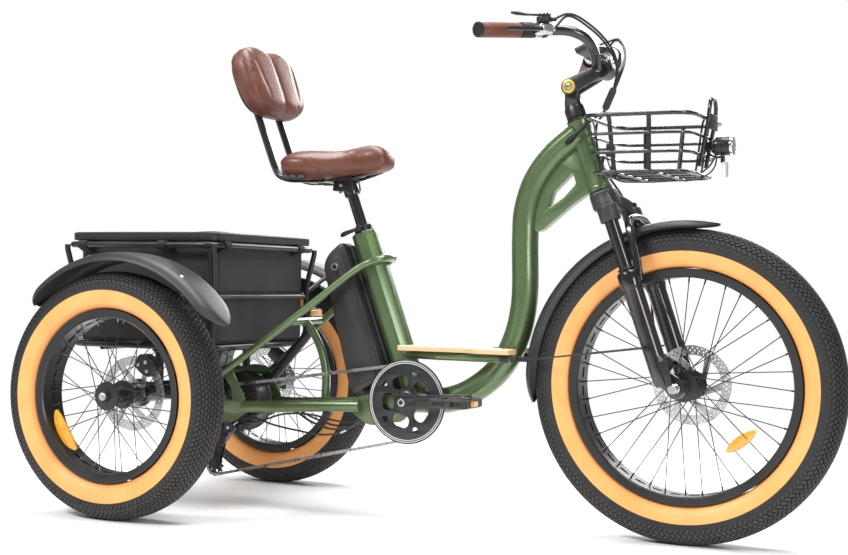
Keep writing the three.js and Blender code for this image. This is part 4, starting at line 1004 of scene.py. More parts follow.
def caliperShape(centre, side, flip, low, high):
    a = math.radians(flip)
    out, along = np.array([math.cos(a), 0, math.sin(a)]), np.array([-math.sin(a), 0, math.cos(a)])
    spot = np.array([centre[0], 0, centre[1]]) + out * 83
    across = basis(spot + (0, (low + high) / 2, 0), out, along, (0, 1, 0))
    body = rounded([(-19, -26), (12, -28), (20, -18), (20, 18), (12, 28), (-19, 26), (-23, 0)], 7)
    third = (high - low - 5) / 2
    shapes = [plateShape([body], third, liftedPlace(across, (high - low - third) / 2), 1.6),
              plateShape([body], third, liftedPlace(across, -(high - low - third) / 2), 1.6)]
    bridge = rounded([(6, -24), (17, -22), (17, 22), (6, 24)], 3)
    shapes.append(plateShape([bridge], high - low - 2, across, 1.0))
    outer = 1 if side > 0 else -1
    face = (high - low) / 2 * outer
    bolt = turnShape([(0.02, 0), (4.6, 0), (4.6, 3), (2.4, 3), (2.4, 1.6), (0.02, 1.6)], 20)
    marks = []
    for u, v in ((-8, -15), (-8, 15), (8, 0)):
        spotAt = across @ np.array([u, v, face, 1])
        marks.append(moved((bolt[0] * (1, outer, 1), bolt[1]), Matrix.Translation(spotAt[:3])))
    return combine(shapes), combine(marks)


def liftedPlace(place, w):
    shifted = np.array(place, float)
    shifted[:3, 3] += shifted[:3, 2] * w
    return shifted


print("frame drawn")
# drive: chain, sprockets, cranks, motor
chainLook = {"y": -51.0, "pitch": 12.7, "plate": 1.1, "inner": 2.3, "outer": 3.6, "height": 4.7, "waist": 3.1}
wraps = [  # x, z, radius, way round
    (612, 286, 12.7 / (2 * math.sin(math.pi / 44)), 1), (107, 258, 12.7 / (2 * math.sin(math.pi / 21)), 1),
    (96, 190, 12.7 / (2 * math.sin(math.pi / 11)), -1), (72, 96, 12.7 / (2 * math.sin(math.pi / 11)), 1),
]


# a line pulled tight round the circles: straight tangents joined by arcs
def beltLine(circles):
    tangents = []
    for i, a in enumerate(circles):
        b = circles[(i + 1) % len(circles)]
        apart = np.array(b[:2]) - np.array(a[:2])
        reach = a[2] * a[3], b[2] * b[3]
        turn = math.atan2(apart[1], apart[0]) + math.acos((reach[1] - reach[0]) / np.linalg.norm(apart))
        normal = np.array([math.cos(turn), math.sin(turn)])
        tangents.append((np.array(a[:2]) - normal * reach[0], np.array(b[:2]) - normal * reach[1]))
    line = []
    for i, c in enumerate(circles):
        came, leaves = tangents[i - 1][1] - np.array(c[:2]), tangents[i][0] - np.array(c[:2])
        start, end = math.atan2(*came[::-1]), math.atan2(*leaves[::-1])
        sweep = (end - start) % (2 * math.pi) if c[3] > 0 else -((start - end) % (2 * math.pi))
        t = start + np.linspace(0, sweep, 60)
        line.append(np.stack([c[0] + c[2] * np.cos(t), c[1] + c[2] * np.sin(t)], -1))
        line.append(tangents[i][0] + np.linspace(0, 1, 80)[1:-1, None] * (tangents[i][1] - tangents[i][0]))
    return np.vstack(line + [line[0][:1]])


def chainShape(look):
    flatLine = beltLine(wraps)
    line = np.insert(flatLine, 1, look["y"], axis=1)
    total = np.linalg.norm(np.diff(line, axis=0), axis=1).sum()
    count = int(round(total / look["pitch"] / 2)) * 2
    pins = evenSteps(line, count + 1)
    a, b = pins[:-1], pins[1:]
    along = (b - a) / np.linalg.norm(b - a, axis=1)[:, None]
    up = np.stack([-along[:, 2], 0 * along[:, 0], along[:, 0]], -1)
    half = look["pitch"] / 2
    t = np.radians(np.arange(-60, 61, 40))
    end = np.stack([half + look["height"] * np.cos(t), look["height"] * np.sin(t)], -1)
    outline = np.vstack([end, [[0, look["waist"]]], -end, [[0, -look["waist"]]]])
    shapes = []
    for kind, gap in ((0, look["inner"]), (1, look["outer"])):
        pick = np.arange(kind, count, 2)
        for side in (-1, 1):
            near, far = side * gap, side * (gap + look["plate"])
            rings = []
            for w in (near, far):
                rings.append((a[pick] + b[pick])[:, None] / 2 + outline[None, :, :1] * along[pick][:, None]
                             + outline[None, :, 1:] * up[pick][:, None]
                             + np.array([0, w, 0]))
            points = np.concatenate(rings, 1)
            m = len(outline)
            j = np.arange(m)
            quads = np.stack([j, (j + 1) % m, (j + 1) % m + m, j + m], -1)
            base = np.arange(len(pick))[:, None, None] * 2 * m
            shapes.append((points.reshape(-1, 3), [(quads[None] + base).reshape(-1, 4),
                                                   (np.stack([j[::-1], j + m])[None] + base).reshape(-1, m)]))
    shapes.append(rodsShape(pins[:-1] - (0, 4.9, 0), pins[:-1] + (0, 4.9, 0), 1.9, 6))
    shapes.append(rodsShape(pins[:-1] - (0, 2.2, 0), pins[:-1] + (0, 2.2, 0), 3.8, 8))
    return combine(shapes)


chainLinks = chainShape(chainLook)
piece("chain_links", [chainLinks], "chainSteel", "frame", "chain", sharp=30, merge=0)


# sprocket: r = root + tooth height * (half wave)^0.7, cut round with holes
def sprocket(teeth, y, thickness, holes=5, bore=14, holeShare=0.6):
    pitchR = 12.7 / (2 * math.sin(math.pi / teeth))
    t = np.arange(teeth * 8) / (teeth * 8) * 2 * np.pi
    wave = np.clip(np.cos(t * teeth) * 0.5 + 0.5, 0, 1)
    r = pitchR - 3.9 + 6.4 * wave ** 0.8
    outline = np.stack([np.cos(t), np.sin(t)], -1) * r[:, None]
    loops = [outline, circle(bore, 24)]
    ring = (pitchR + bore) / 2
    size = (pitchR - 6 - bore) / 2 * holeShare
    if size > 1.6:
        loops += [circle(size, 14) + ring * np.array([math.cos(a), math.sin(a)])
                  for a in np.arange(holes) * 2 * np.pi / holes]
    return loops, thickness, y


# chain guard: a disc with five wide windows, five small ones between them, and two raised rings near its edge
guardLoops = [circle(101.2, 120)]
for i in range(5):
    middle = 38 + i * 72
    c, s = math.cos(math.radians(middle)), math.sin(math.radians(middle))
    oval = roundedRect(21, 15, 13, (0, 0), 6)
    guardLoops.append(oval @ np.array([[-s, c], [c, s]]) + 48 * np.array([c, s]))
    small = middle + 36
    c, s = math.cos(math.radians(small)), math.sin(math.radians(small))
    wedge = rounded([(-4, -6), (4, -6), (9, 5), (-9, 5)], 3, 4)
    guardLoops.append(wedge @ np.array([[-s, c], [c, s]]) + 70 * np.array([c, s]))
guardDisc = plateShape(guardLoops, 2.8, inXZ(-58.5, bracketAt), 0.7)
guardHub = turnShape([(19, -61.6), (21, -62), (26, -60), (26, -52), (19, -52)], 48, bracketAt)
piece("guard_disc", [guardDisc, guardHub], "satin", "crankset", "chainring", sharp=30)
rings = [turnShape([(r, -59.7), (r + 1.7, -59.7), (r + 1.7, -60.15), (r, -60.15)], 120, bracketAt)
         for r in (91.2, 95.6)]
piece("guard_rings", rings, "white", "crankset", sharp=30)
ringLoops, ringThick, ringY = sprocket(44, -51, 2.4, 0, 72, 0.62)
ringBolts = [rodsShape([(612 + 77 * math.cos(a), -49, 286 + 77 * math.sin(a))],
                       [(612 + 77 * math.cos(a), -60.6, 286 + 77 * math.sin(a))], 4.2, 12)
             for a in np.radians(np.arange(5) * 72 + 38)]
piece("chain_ring", [plateShape(ringLoops, ringThick, inXZ(ringY, bracketAt), 0.4)], "satin", "crankset",
      sharp=30)
piece("ring_bolts", ringBolts, "satin", "crankset", bevel=0.4)


# crank arm: a tapering bar with rounded ends and a hollowed outer face
def crankArm(turn, side):
    c, s = math.cos(math.radians(turn)), math.sin(math.radians(turn))
    place = basis((612, side * 81, 286), (c, 0, s), (-s, 0, c), (0, side, 0))
    outline = np.vstack([arcPoints((0, 0), 19, 70, 290, 18), arcPoints((168, 0), 14.5, -80, 80, 12)])
    pocket = linkOutline((38, 0), (138, 0), 6.5, 5)
    arm = plateShape([outline], 11, place, 2.6)
    hollow = plateShape([outline * 0.999, pocket], 2.4, liftedPlace(place, 5.8), 0.9)
    boss = turnShape([(0.02, 0), (9.5, 0), (9.5, 1.6), (8.4, 2.4), (5.4, 2.4), (5.2, -1.4), (0.02, -1.4)], 32)
    bossAt = moved((boss[0] * (1, side, 1), boss[1]), Matrix.Translation((612, side * 87.2, 286)))
    return arm, hollow, bossAt


armParts = [*crankArm(4, -1), *crankArm(184, 1)]
axle = turnShape([(0.02, -86), (9, -86), (9, -62), (16, -60), (16, -38), (19.5, -36.5), (19.5, 36.5),
                  (16, 38), (9, 40), (9, 86), (0.02, 86)], 40, bracketAt)
piece("crank_arm_pair", [armParts[0], armParts[1], armParts[3], armParts[4], axle], "satin", "crankset",
      "crank_arms", sharp=34)
piece("crank_bolts", [armParts[2], armParts[5]], "steel", "crankset", sharp=34)


def pedalShape(name, x, z, side):
    body = []
    cage = rounded([(-46, -10), (46, -10), (46, 10), (-46, 10)], 6)
    for y in (106, 192):
        body.append(plateShape([cage, rounded([(-38, -5), (38, -5), (38, 5), (-38, 5)], 3)], 9,
                               inXZ(side * y, (x, z)), 1.4))
    for px in (-43, -16, 16, 43):
        body.append(boxShape((x + px - 3.4, x + px + 3.4), sorted((side * 106, side * 192)),
                             (z - 8.5, z + 8.5)))
    barrel = turnShape([(0.02, 101), (8, 101), (8, 104), (12.4, 106), (12.4, 188), (9, 197), (0.02, 199)], 28,
                       (x, z))
    body.append((barrel[0] * (1, side, 1), barrel[1]))
    piece(f"pedal_cage_{name}", body, "plastic", f"pedal_{name}", f"pedal_{name}", sharp=30,
          bevel=0.7)
    pins = [(x + px, side * py, z) for px in (-43, -16, 16, 43) for py in (118, 134, 150, 166, 182)]
    starts, ends = np.array(pins) - (0, 0, 10.5), np.array(pins) + (0, 0, 10.5)
    piece(f"pedal_pins_{name}", rodsShape(starts, ends, 1.5, 6), "steel", f"pedal_{name}",
          merge=0)
    lenses = [plateShape([roundedRect(19, 6, 2.5)], 2.6, basis((x + px, side * 149, z), (0, 1, 0), (0, 0, 1),
                                                               (1, 0, 0)), 0.6) for px in (-46.4, 46.4)]
    piece(f"pedal_lens_{name}", lenses, "amber", f"pedal_{name}", sharp=40)
    spindle = turnShape([(0.02, 76), (6.5, 76), (6.5, 101.5), (0.02, 101.5)], 20, (x, z))
    piece(f"pedal_spindle_{name}", [(spindle[0] * (1, side, 1), spindle[1])], "steel", f"pedal_{name}")


reach = (168 * math.cos(math.radians(4)), 168 * math.sin(math.radians(4)))
pedalShape("right", 612 + reach[0], 286 + reach[1], -1)
pedalShape("left", 612 - reach[0], 286 - reach[1], 1)

driveAt = (107, 258)
sprocketStack = [(11, -75.6), (13, -70.8), (15, -66), (18, -61), (21, -51), (24, -46.6)]
stack = []
for teeth, y in sprocketStack:
    loops, thick, level = sprocket(teeth, y, 1.9, 6, 10, 0.55)
    stack.append(plateShape(loops, thick, inXZ(level, driveAt), 0.3))
stack.append(turnShape([(8, -77), (13.5, -77), (14, -76), (14, -45), (8, -45)], 30, driveAt))
piece("sprocket_stack", stack, "chainSteel", "cassette", "cassette", sharp=30)

# motor: a drum with stepped covers, cooling ribs and a ring of screws on each cover
drum = [(9, -39.6), (34, -39.6), (36, -36), (52, -34), (56, -31), (70, -29), (74, -26), (76.6, -24),
        (76.6, -20), (74, -18), (73, -14), (73, 27),
        (74, 31), (76.6, 33), (76.6, 37), (74, 39), (70, 42), (56, 45), (52, 49), (34, 52.6), (9, 52.6)]
ribs = [plateShape([rounded([(40, -1.6), (68, -1.6), (68, 1.6), (40, 1.6)], 1.2, 3)], 3,
                   basis((107, -32.4, 258), (math.cos(a), 0, math.sin(a)), (-math.sin(a), 0, math.cos(a)),
                         (0, -1, 0)), 0.5) for a in np.radians(np.arange(12) * 30)]
screws = [rodsShape([(107 + 62 * math.cos(a), y0, 258 + 62 * math.sin(a))],
                    [(107 + 62 * math.cos(a), y1, 258 + 62 * math.sin(a))], 3.0, 12)
          for a in np.radians(np.arange(9) * 40 + 12) for y0, y1 in ((-28, -33.4), (42, 46.6))]
piece("motor_shell", [turnShape(drum, 96, driveAt), *ribs], "satin", "motor_drum", "motor_drum",
      sharp=32)
piece("motor_screws", screws, "steel", "motor_drum", bevel=0.4)
nuts = [rodsShape([(107, -83.4, 258)], [(107, -74, 258)], 9.5, 6),
        rodsShape([(107, 83.4, 258)], [(107, 90.5, 258)], 9.5, 6),
        turnShape([(0.02, -83.4), (6, -83.4), (6, 83.4), (0.02, 83.4)], 24, driveAt)]
piece("motor_axle_nuts", nuts, "steel", "frame", bevel=0.6)

# derailleur: hanger link, knuckle with two side plates, cage with two toothed pulleys
def inPlane(y, outlines, thickness, bevel):
    return plateShape(outlines, thickness, inXZ(y), bevel)


body = [inPlane(-67, [linkOutline((96, 190), (128, 196), 13, 11)], 13, 2.4),
        inPlane(-81.6, [linkOutline((128, 196), (126, 224), 11, 12)], 3.8, 1.2),
        inPlane(-72, [linkOutline((128, 196), (126, 224), 11, 12)], 3.8, 1.2),
        inPlane(-76.8, [linkOutline((127, 204), (126, 220), 7, 7)], 6.4, 1.0)]
knobs = [turnShape([(0.02, -80), (5, -80), (5.6, -79), (5.6, -66), (0.02, -66)], 20, (96, 190)),
         turnShape([(0.02, -86), (4.6, -86), (5, -85), (5, -70), (0.02, -70)], 20, (126, 222)),
         turnShape([(0.02, -85), (4, -85), (4.4, -84), (4.4, -70), (0.02, -70)], 20, (128, 198)),
         tubeShape([(140, -77, 206), (152, -77, 214)], 2.6)]
piece("derailleur_links", body, "satin", "frame", "derailleur_body", sharp=34)
piece("derailleur_pins", knobs, "steel", "frame", sharp=34)
cagePlate = linkOutline((96, 190), (72, 96), 12, 10.5)
slots = [linkOutline((90, 166), (82, 136), 4, 3.6, 8), circle(3, 14) + (96, 190), circle(3, 14) + (72, 96)]
cage = [inPlane(-57.9, [cagePlate, *slots], 1.7, 0.5), inPlane(-44.1, [cagePlate, *slots], 1.7, 0.5)]
cage += [turnShape([(0.02, -59.6), (4.2, -59.6), (4.2, -42.6), (0.02, -42.6)], 16, c)
         for c in ((96, 190), (72, 96), (84, 143))]
piece("cage_plates", cage, "satin", "derailleur_cage", "derailleur_cage", sharp=34)
loops, thick, level = sprocket(11, -51, 2.3, 5, 4.4, 0.5)
piece("guide_pulley", [plateShape(loops, thick, inXZ(level, (96, 190)), 0.3)], "plastic", "frame",
      sharp=34)
piece("tension_pulley", [plateShape(loops, thick, inXZ(level, (72, 96)), 0.3)], "plastic", "derailleur_cage",
      sharp=34)

# cables under the chain stay, from the bracket back to the derailleur, the motor and the brakes
runs = [
    [(470, -30, 232), (432, -36, 203), (381, -44, 192), (311, -52, 199), (245, -58, 210), (198, -64, 223),
     (150, -70, 222), (140, -77, 207)],
    [(478, -22, 236), (440, -28, 212), (392, -34, 207), (340, -38, 222), (300, -40, 243), (262, -44, 248),
     (215, -46, 240), (160, -42, 226)],
    [(474, 22, 234), (430, 26, 214), (370, 32, 208), (300, 40, 224), (250, 48, 240), (200, 62, 240),
     (150, 70, 240)],
    [(478, 14, 240), (430, 10, 222), (380, 4, 224), (330, -14, 236), (262, -30, 236), (190, -36, 214),
     (150, -38, 208)],
]
piece("stay_cables", [tubeShape(run, r, 10, count=90) for run, r in zip(runs, (2.5, 2.9, 2.5, 2.5))], "cable",
      "frame")
ferrules = [rodsShape([(438, -35.4, 206.5)], [(424, -37.6, 199.6)], 3.3, 14),
            rodsShape([(146, -73.5, 215)], [(140.4, -77, 207.6)], 3.2, 14)]
guides = [plateShape([rounded([(-9, -7), (9, -7), (9, 7), (-9, 7)], 4)], 5, inXZ(-41.5, (384, 242)), 1.0)]
piece("cable_ferrules", ferrules, "steel", "frame", bevel=0.4)
piece("cable_guides", guides, "plastic", "frame")
print("drive drawn")
# seat: padded saddle and backrest, their frame, post and clamp
def meshArray(obj):
    points = np.zeros(len(obj.data.vertices) * 3)
    obj.data.vertices.foreach_get("co", points)
    return points.reshape(-1, 3)


def setPoints(obj, points):
    obj.data.vertices.foreach_set("co", np.ascontiguousarray(points, dtype=float).ravel())
    obj.data.update()


def soften(obj, voxel):
    remesh = obj.modifiers.new("remesh", "REMESH")
    remesh.mode, remesh.voxel_size, remesh.use_smooth_shade = "VOXEL", voxel * 0.001, True
    applyModifiers(obj)


def applyModifiers(obj):
    deps = bpy.context.evaluated_depsgraph_get()
    fresh = bpy.data.meshes.new_from_object(obj.evaluated_get(deps))
    obj.modifiers.clear()
    old, obj.data = obj.data, fresh
    bpy.data.meshes.remove(old)


# stuffing: the skin is blown up by cloth simulation, then no point may be further than cap from where it was
def puff(obj, look):
    before = meshArray(obj)
    cloth = obj.modifiers.new("skin", "CLOTH")
    cloth.settings.quality, cloth.settings.mass = 5, 0.3
    cloth.settings.tension_stiffness = cloth.settings.compression_stiffness = look["stiffness"]
    cloth.settings.use_pressure, cloth.settings.uniform_pressure_force = True, look["pressure"]
    cloth.settings.effector_weights.gravity = 0
    cloth.point_cache.frame_start, cloth.point_cache.frame_end = 1, 20
    for step in range(1, 21):
        scene.frame_set(step)
    applyModifiers(obj)
    shift = meshArray(obj) - before
    length = np.linalg.norm(shift, axis=1, keepdims=True)
    cap = look["cap"] * 0.001
    shift *= cap * np.tanh(length / cap) / np.maximum(length, 1e-9)
    setPoints(obj, before + shift)
    scene.frame_set(1)


def padPiece(name, shape, look, body, replaced, shapeAfter):
    made = piece(name, [shape], "leather", body, replaced, sharp=180)
    soften(made, look["voxel"])
    puff(made, look)
    setPoints(made, shapeAfter(meshArray(made) * 1000 + (midLength, 0, 0)) * 0.001 - (midLength * 0.001, 0,
                                                                                      0))
    relax = made.modifiers.new("relax", "SMOOTH")
    relax.factor, relax.iterations = 0.5, look["relax"]
    applyModifiers(made)
    extra = made.modifiers.new("smooth", "SUBSURF")
    extra.levels = extra.render_levels = 1
    made.data.shade_smooth()
    return made


def surfaceOf(obj):

    return BVHTree.FromObject(obj, bpy.context.evaluated_depsgraph_get())


# a line laid on a surface: each point goes to the nearest spot on it, then out by lift
def laid(points, tree, lift=0.0):
    found = [tree.find_nearest(((x - midLength) * 0.001, y * 0.001, z * 0.001)) for x, y, z in points]
    return np.array([(p[0] + p[1] * lift * 0.001) for p in found]) * 1000 + (midLength, 0, 0)


saddleLook = {
    "voxel": 4.5, "pressure": 4.0, "stiffness": 18, "cap": 5.0, "relax": 3, "fill": 0.75,
    # along x: half width, top line, bottom line at the rim, sideways roundness
    "x": [266, 270, 280, 300, 330, 360, 390, 420, 450, 480, 505, 522, 532, 536],
    "half": [52, 84, 106, 119, 122, 114, 98, 78, 61, 50, 43, 36, 26, 10],
    "top": [868, 880, 887, 890, 890.5, 889, 887, 888, 894, 900, 901, 894, 880, 866],
    "bottom": [832, 827, 823, 821, 821, 824, 828, 832, 836, 839, 843, 846, 850, 856],
}


# saddle: the section at x is y = half cos^0.75, z = middle + tall sin^0.7, crowned,
# with its rim hanging below the middle
def saddleShape(look):
    u = np.linspace(look["x"][0], look["x"][-1], 90)
    curve = lambda key: splineValues(look["x"], look[key], u)
    half, top, bottom = curve("half"), curve("top"), curve("bottom")
    t = np.radians(np.arange(0, 360, 5))
    c, s = np.cos(t), np.sin(t)
    y = half[:, None] * (np.sign(c) * np.abs(c) ** 0.72)[None]
    crown = 1 - 0.18 * np.abs(c)[None] ** 2.2
    middle = (top * 0.45 + bottom * 0.55)[:, None]
    z = np.where(s[None] >= 0, middle + (top[:, None] - middle) * np.abs(s)[None] ** 0.66 * crown,
                 middle - (middle - bottom[:, None]) * np.abs(s)[None] ** 0.5)
    points = np.stack([np.broadcast_to(u[:, None], y.shape), y, z], -1)
    return gridShape(points, closeColumns=True, ends=True)


def splineValues(at, values, wanted):
    line = splinePath(np.stack([at, values, 0 * np.array(at)], -1), 400)
    return np.interp(wanted, line[:, 0], line[:, 1])


# pressed channels: a groove along the middle of the seat and a step where the nose panel starts
def saddleChannels(p):
    x, y, z = p.T
    groove = 4.5 * np.exp(-(y / 9) ** 2) * np.clip((x - 275) / 40, 0, 1) * np.clip((470 - x) / 80, 0, 1)
    dish = 3.0 * np.exp(-((np.abs(y) - 55) / 34) ** 2) * np.exp(-((x - 345) / 60) ** 2)
    onTop = np.clip((z - 862) / 12, 0, 1)
    seamX = 392 - 52 * np.clip((z - 832) / 50, 0, 1) ** 1.6
    seam = 1.8 * np.exp(-((x - seamX) / 3.2) ** 2) * np.clip((np.abs(y) - 50) / 20, 0, 1) * (1 - onTop)
    out = np.stack([x, y - np.sign(y) * seam, z - (groove + dish) * onTop], -1)
    return out


saddlePad = padPiece("saddle_pad", saddleShape(saddleLook), saddleLook, "seat", "saddle", saddleChannels)

backLook = {"voxel": 4.5, "pressure": 4.0, "stiffness": 18, "cap": 3.0, "relax": 3, "fill": 0.8,
            "half": (96, 86), "depth": 46}


# backrest, facing +X in its own frame: a rounded square with two low humps on top,
# carried from the back plate round its side to the face
def backrestShape(look):
    t = np.radians(np.arange(0, 360, 3))
    c, s = np.cos(t), np.sin(t)
    y = 129 * np.sign(c) * np.abs(c) ** 0.55
    z = 92 * np.sign(s) * np.abs(s) ** 0.6
    y *= np.where(z < 0, 1 - 0.16 * (z / 90) ** 2, 1.0)
    z += np.where(s > 0, 4 * np.exp(-((np.abs(y) - 66) / 40) ** 2) - 3 * np.exp(-(y / 34) ** 2), 0)
    outline = np.stack([y, z], -1)
    # from the back plate round the side to the middle of the face: (share of the outline, depth)
    rows = [(0.0, -20), (0.6, -20), (0.9, -19.5), (0.965, -17), (0.985, -10), (1.0, 0), (1.0, 14),
            (0.988, 22), (0.955, 29.5), (0.90, 34), (0.82, 37), (0.68, 38.5),
            (0.5, 39.5), (0.34, 40), (0.18, 40), (0.0, 40)]
    share, deep = np.array(rows).T
    y = share[:, None] * outline[None, :, 0]
    z = share[:, None] * outline[None, :, 1]
    x = np.broadcast_to(deep[:, None], y.shape)
    return gridShape(np.stack([x, y, z], -1), closeColumns=True)


backPlace = np.array(leaning(22, 173.5, 1062))


def backrestChannels(p):
    inverse = np.linalg.inv(backPlace)
    local = p @ inverse[:3, :3].T + inverse[:3, 3]
    x, y, z = local.T
    face = np.clip((x - 12) / 14, 0, 1)
    channel = 3.0 * np.exp(-(y / 3.6) ** 2) + 1.6 * np.exp(-(y / 16) ** 2)
    edge = np.abs(y) - (78 + 14 * np.clip(z / 80, -1, 1))
    sideChannel = 3.0 * np.exp(-(edge / 5) ** 2) * np.clip((z + 66) / 50, 0, 1)
    x = x - face * (channel + sideChannel)
    local = np.stack([x, y, z], -1)
    return local @ backPlace[:3, :3].T + backPlace[:3, 3]


backPad = padPiece("backrest_cushion", moved(backrestShape(backLook), backPlace), backLook, "seat",
                   "backrest_pad", backrestChannels)

# piping and stitches follow the finished skins
saddleSkin, backSkin = surfaceOf(saddlePad), surfaceOf(backPad)


def pipeAlong(points, tree, radius, lift, count):
    return sweepShape(laid(splinePath(points, count), tree, lift), circle(radius, 8), (0, 0, 1))


sideSeam = [(268, 78, 846), (276, 108, 866), (292, 122, 878), (318, 128, 880), (344, 122, 874),
            (366, 110, 858), (384, 98, 834)]
pipes = [pipeAlong([(x, side * y, z) for x, y, z in sideSeam], saddleSkin, 1.3, 0.4, 110) for side in (-1, 1)]
backEdge = []
for y, z in ((84, -70), (100, -30), (108, 10), (106, 50), (84, 82), (60, 88)):
    backEdge.append(at(backPlace, (6, y, z)))
pipes += [pipeAlong([(x, side * y, z) for x, y, z in backEdge], backSkin, 1.3, 0.3, 110) for side in (-1, 1)]
piece("seat_piping", pipes, "thread", "seat", sharp=60)


def stitches(points, tree, count, length=3.2, lift=0.55):
    line = laid(splinePath(points, count * 2), tree, lift)
    a, b = line[::2], line[1::2]
    return rodsShape(a, a + (b - a) / np.linalg.norm(b - a, axis=1)[:, None] * length, 0.45, 5)


rows = []
for side in (-1, 1):
    rows.append(stitches([at(backPlace, (38, side * 4.4, z)) for z in (84, 50, 10, -30, -58)], backSkin, 34))
    rows.append(stitches([(x, side * 3.8, z) for x, z in ((285, 888), (330, 892), (390, 888), (450, 894))],
                         saddleSkin, 40))
    rows.append(stitches([(x + 4, side * y, z) for x, y, z in sideSeam], saddleSkin, 46))
piece("seat_stitches", rows, "thread", "seat", merge=0)

# hard parts under the pads: wavy bumper, base shell, backing plate, rails
t = np.linspace(0, 1, 60)
wave = np.stack([284 + 70 * t, 0 * t, 822 + 6 * np.abs(np.sin(t * np.pi * 3))], -1)
bumperTop = np.stack([284 + 70 * t, 0 * t, 816 + 0 * t], -1)
bumperOutline = np.vstack([wave[:, [0, 2]], bumperTop[::-1][:, [0, 2]]])
baseOutline = np.array([(276, 70), (300, 104), (350, 104), (384, 82), (420, 56), (470, 38), (520, 26),
                        (520, -26), (470, -38), (420, -56), (384, -82), (350, -104), (300, -104), (276, -70)],
                        float)
base = plateShape([rounded(baseOutline * (0.97, 0.9) + (12, 0), 14)], 5, inXY(843), 1.2)
base = (base[0] + np.stack([0 * base[0][:, 0], 0 * base[0][:, 0], (base[0][:, 0] - 400) * 0.13 - 1], -1),
        base[1])
piece("saddle_base", [base, plateShape([bumperOutline], 6, inXZ(-110), 1.4),
                      plateShape([bumperOutline], 6, inXZ(110), 1.4)], "plastic", "seat",
                      sharp=40)
plateBack = plateShape([np.stack([0.94 * 118 * np.sign(np.cos(a)) * np.abs(np.cos(a)) ** 0.62,
                                  0.93 * 84 * np.sign(np.sin(a)) * np.abs(np.sin(a)) ** 0.66], -1)
                        for a in [np.radians(np.arange(0, 360, 4))]], 6,
                        backPlace @ np.array(basis((-21.5, 0, 0), (0, 1, 0), (0, 0, 1), (1, 0, 0))), 1.6)
bolts = [rodsShape([at(backPlace, (-24, y, z))], [at(backPlace, (-28, y, z))], 5.5, 6) for y in (-50, 50)
         for z in (-44, 20)]
piece("backrest_plate", [plateBack], "plastic", "seat", sharp=40)
piece("backrest_bolts", bolts, "steel", "seat", bevel=0.5)

railPath = [(300, 24, 837), (330, 26, 824), (380, 24, 821), (430, 22, 822), (470, 20, 832), (500, 14, 840)]
posts = [(372, 50, 822), (275, 50, 822), (243, 50, 832), (229, 50, 858), (180, 50, 983), (150, 50, 1060)]
frameParts = [bothSides(tubeShape(posts, 9, 20, bend=26)), bothSides(tubeShape(railPath, 4.2, 12, count=50)),
              tubeShape([(352, -50, 822), (352, 50, 822)], 7),
              tubeShape([(300, -50, 822), (300, 50, 822)], 7)]
creases = [bothSides(tubeShape([(262, 59.2, 823), (243, 59.2, 834), (229, 59.2, 860), (182, 59.2, 980)], 0.9,
                               8, bend=20))]
piece("seat_bars", frameParts + creases, "gloss", "seat", "seat_frame", sharp=50)
head = [moved(plateShape([rounded([(-30, -15), (30, -15), (24, 16), (-24, 16)], 6)], 44, inXZ(0), 2.0),
              Matrix.Translation((410, 0, 808))),
        moved(boxShape((-26, 26), (-32, 32), (-4, 4)), Matrix.Translation((412, 0, 824)))]
piece("seat_head", head, "satin", "seat", bevel=1.2)
headBolts = [rodsShape([(410, -34, z)], [(410, 34, z)], 4.4, 12)
             for z in (806,)] + [rodsShape([(392, 0, 788)], [(392, 0, 801)], 4, 6)]
piece("seat_head_bolts", headBolts, "steel", "seat", bevel=0.5)
post = aroundLean([(0.02, 225), (13.2, 225), (14.6, 227), (14.6, 528), (19, 530), (20, 534), (20, 560),
                   (18, 566), (0.02, 566)], 40, seatPlace)
piece("post_tube", [post], "gloss", "seat", "seat_post", sharp=34)
collar = aroundLean([(15.2, 431.3), (21.6, 431.3), (23, 432.6), (23, 446.6), (21.6, 448), (15.2, 448)], 48,
                    seatPlace)
ears = [moved(boxShape((-9, 9), (-25.4, -19), (434.5, 445.5)), seatPlace)]
piece("clamp_collar", [collar, *ears], "satin", "frame", "seat_clamp", sharp=34, bevel=0.8)
leverLine = [(4, -33.5, 440), (-6, -36, 440), (-22, -38.5, 440), (-38, -37, 440), (-48, -32, 440)]
lever = sweepShape([at(seatPlace, p) for p in splinePath(leverLine, 30)], roundedRect(5.4, 2.6, 2.2, steps=4),
                   at(seatPlace, (0, 0, 1)) - at(seatPlace, (0, 0, 0)),
                   np.interp(np.linspace(0, 1, 30), [0, 0.2, 0.8, 1], [1.0, 0.85, 1.1, 0.7]))
cam = rodsShape([at(seatPlace, (4, -33.5, 433))], [at(seatPlace, (4, -33.5, 447))], 6, 24)
rod = rodsShape([at(seatPlace, (4, -37, 440))], [at(seatPlace, (4, -18, 440))], 2.6, 12)
piece("clamp_handle", [lever, cam, rod], "satin", "seat_clamp_lever", "seat_clamp_lever",
      sharp=40)
print("seat padded")
# cargo: rack, bag, lid, fenders, battery, board
rackLook = {"centre": (-36, 0), "top": (227, 253, 40, 652, 7.5), "middle": (214, 229, 16, 527, 6.5),
            "bottom": (214, 229, 16, 403, 7.5)}


def rectLoop(halfX, halfY, r, count, centre=(-36, 0)):
    outline = roundedRect(halfX, halfY, r, centre, 10)
    line = np.vstack([outline, outline[:1]])
    return evenSteps(np.hstack([line, np.zeros((len(line), 1))]), count + 1)[:-1, :2]


def ringTube(halfX, halfY, r, z, radius, count=180, centre=(-36, 0)):
    loop = rectLoop(halfX, halfY, r, count, centre)
    return sweepShape(np.insert(loop, 2, z, axis=1), circle(radius, 16), (0, 0, 1), closed=True)


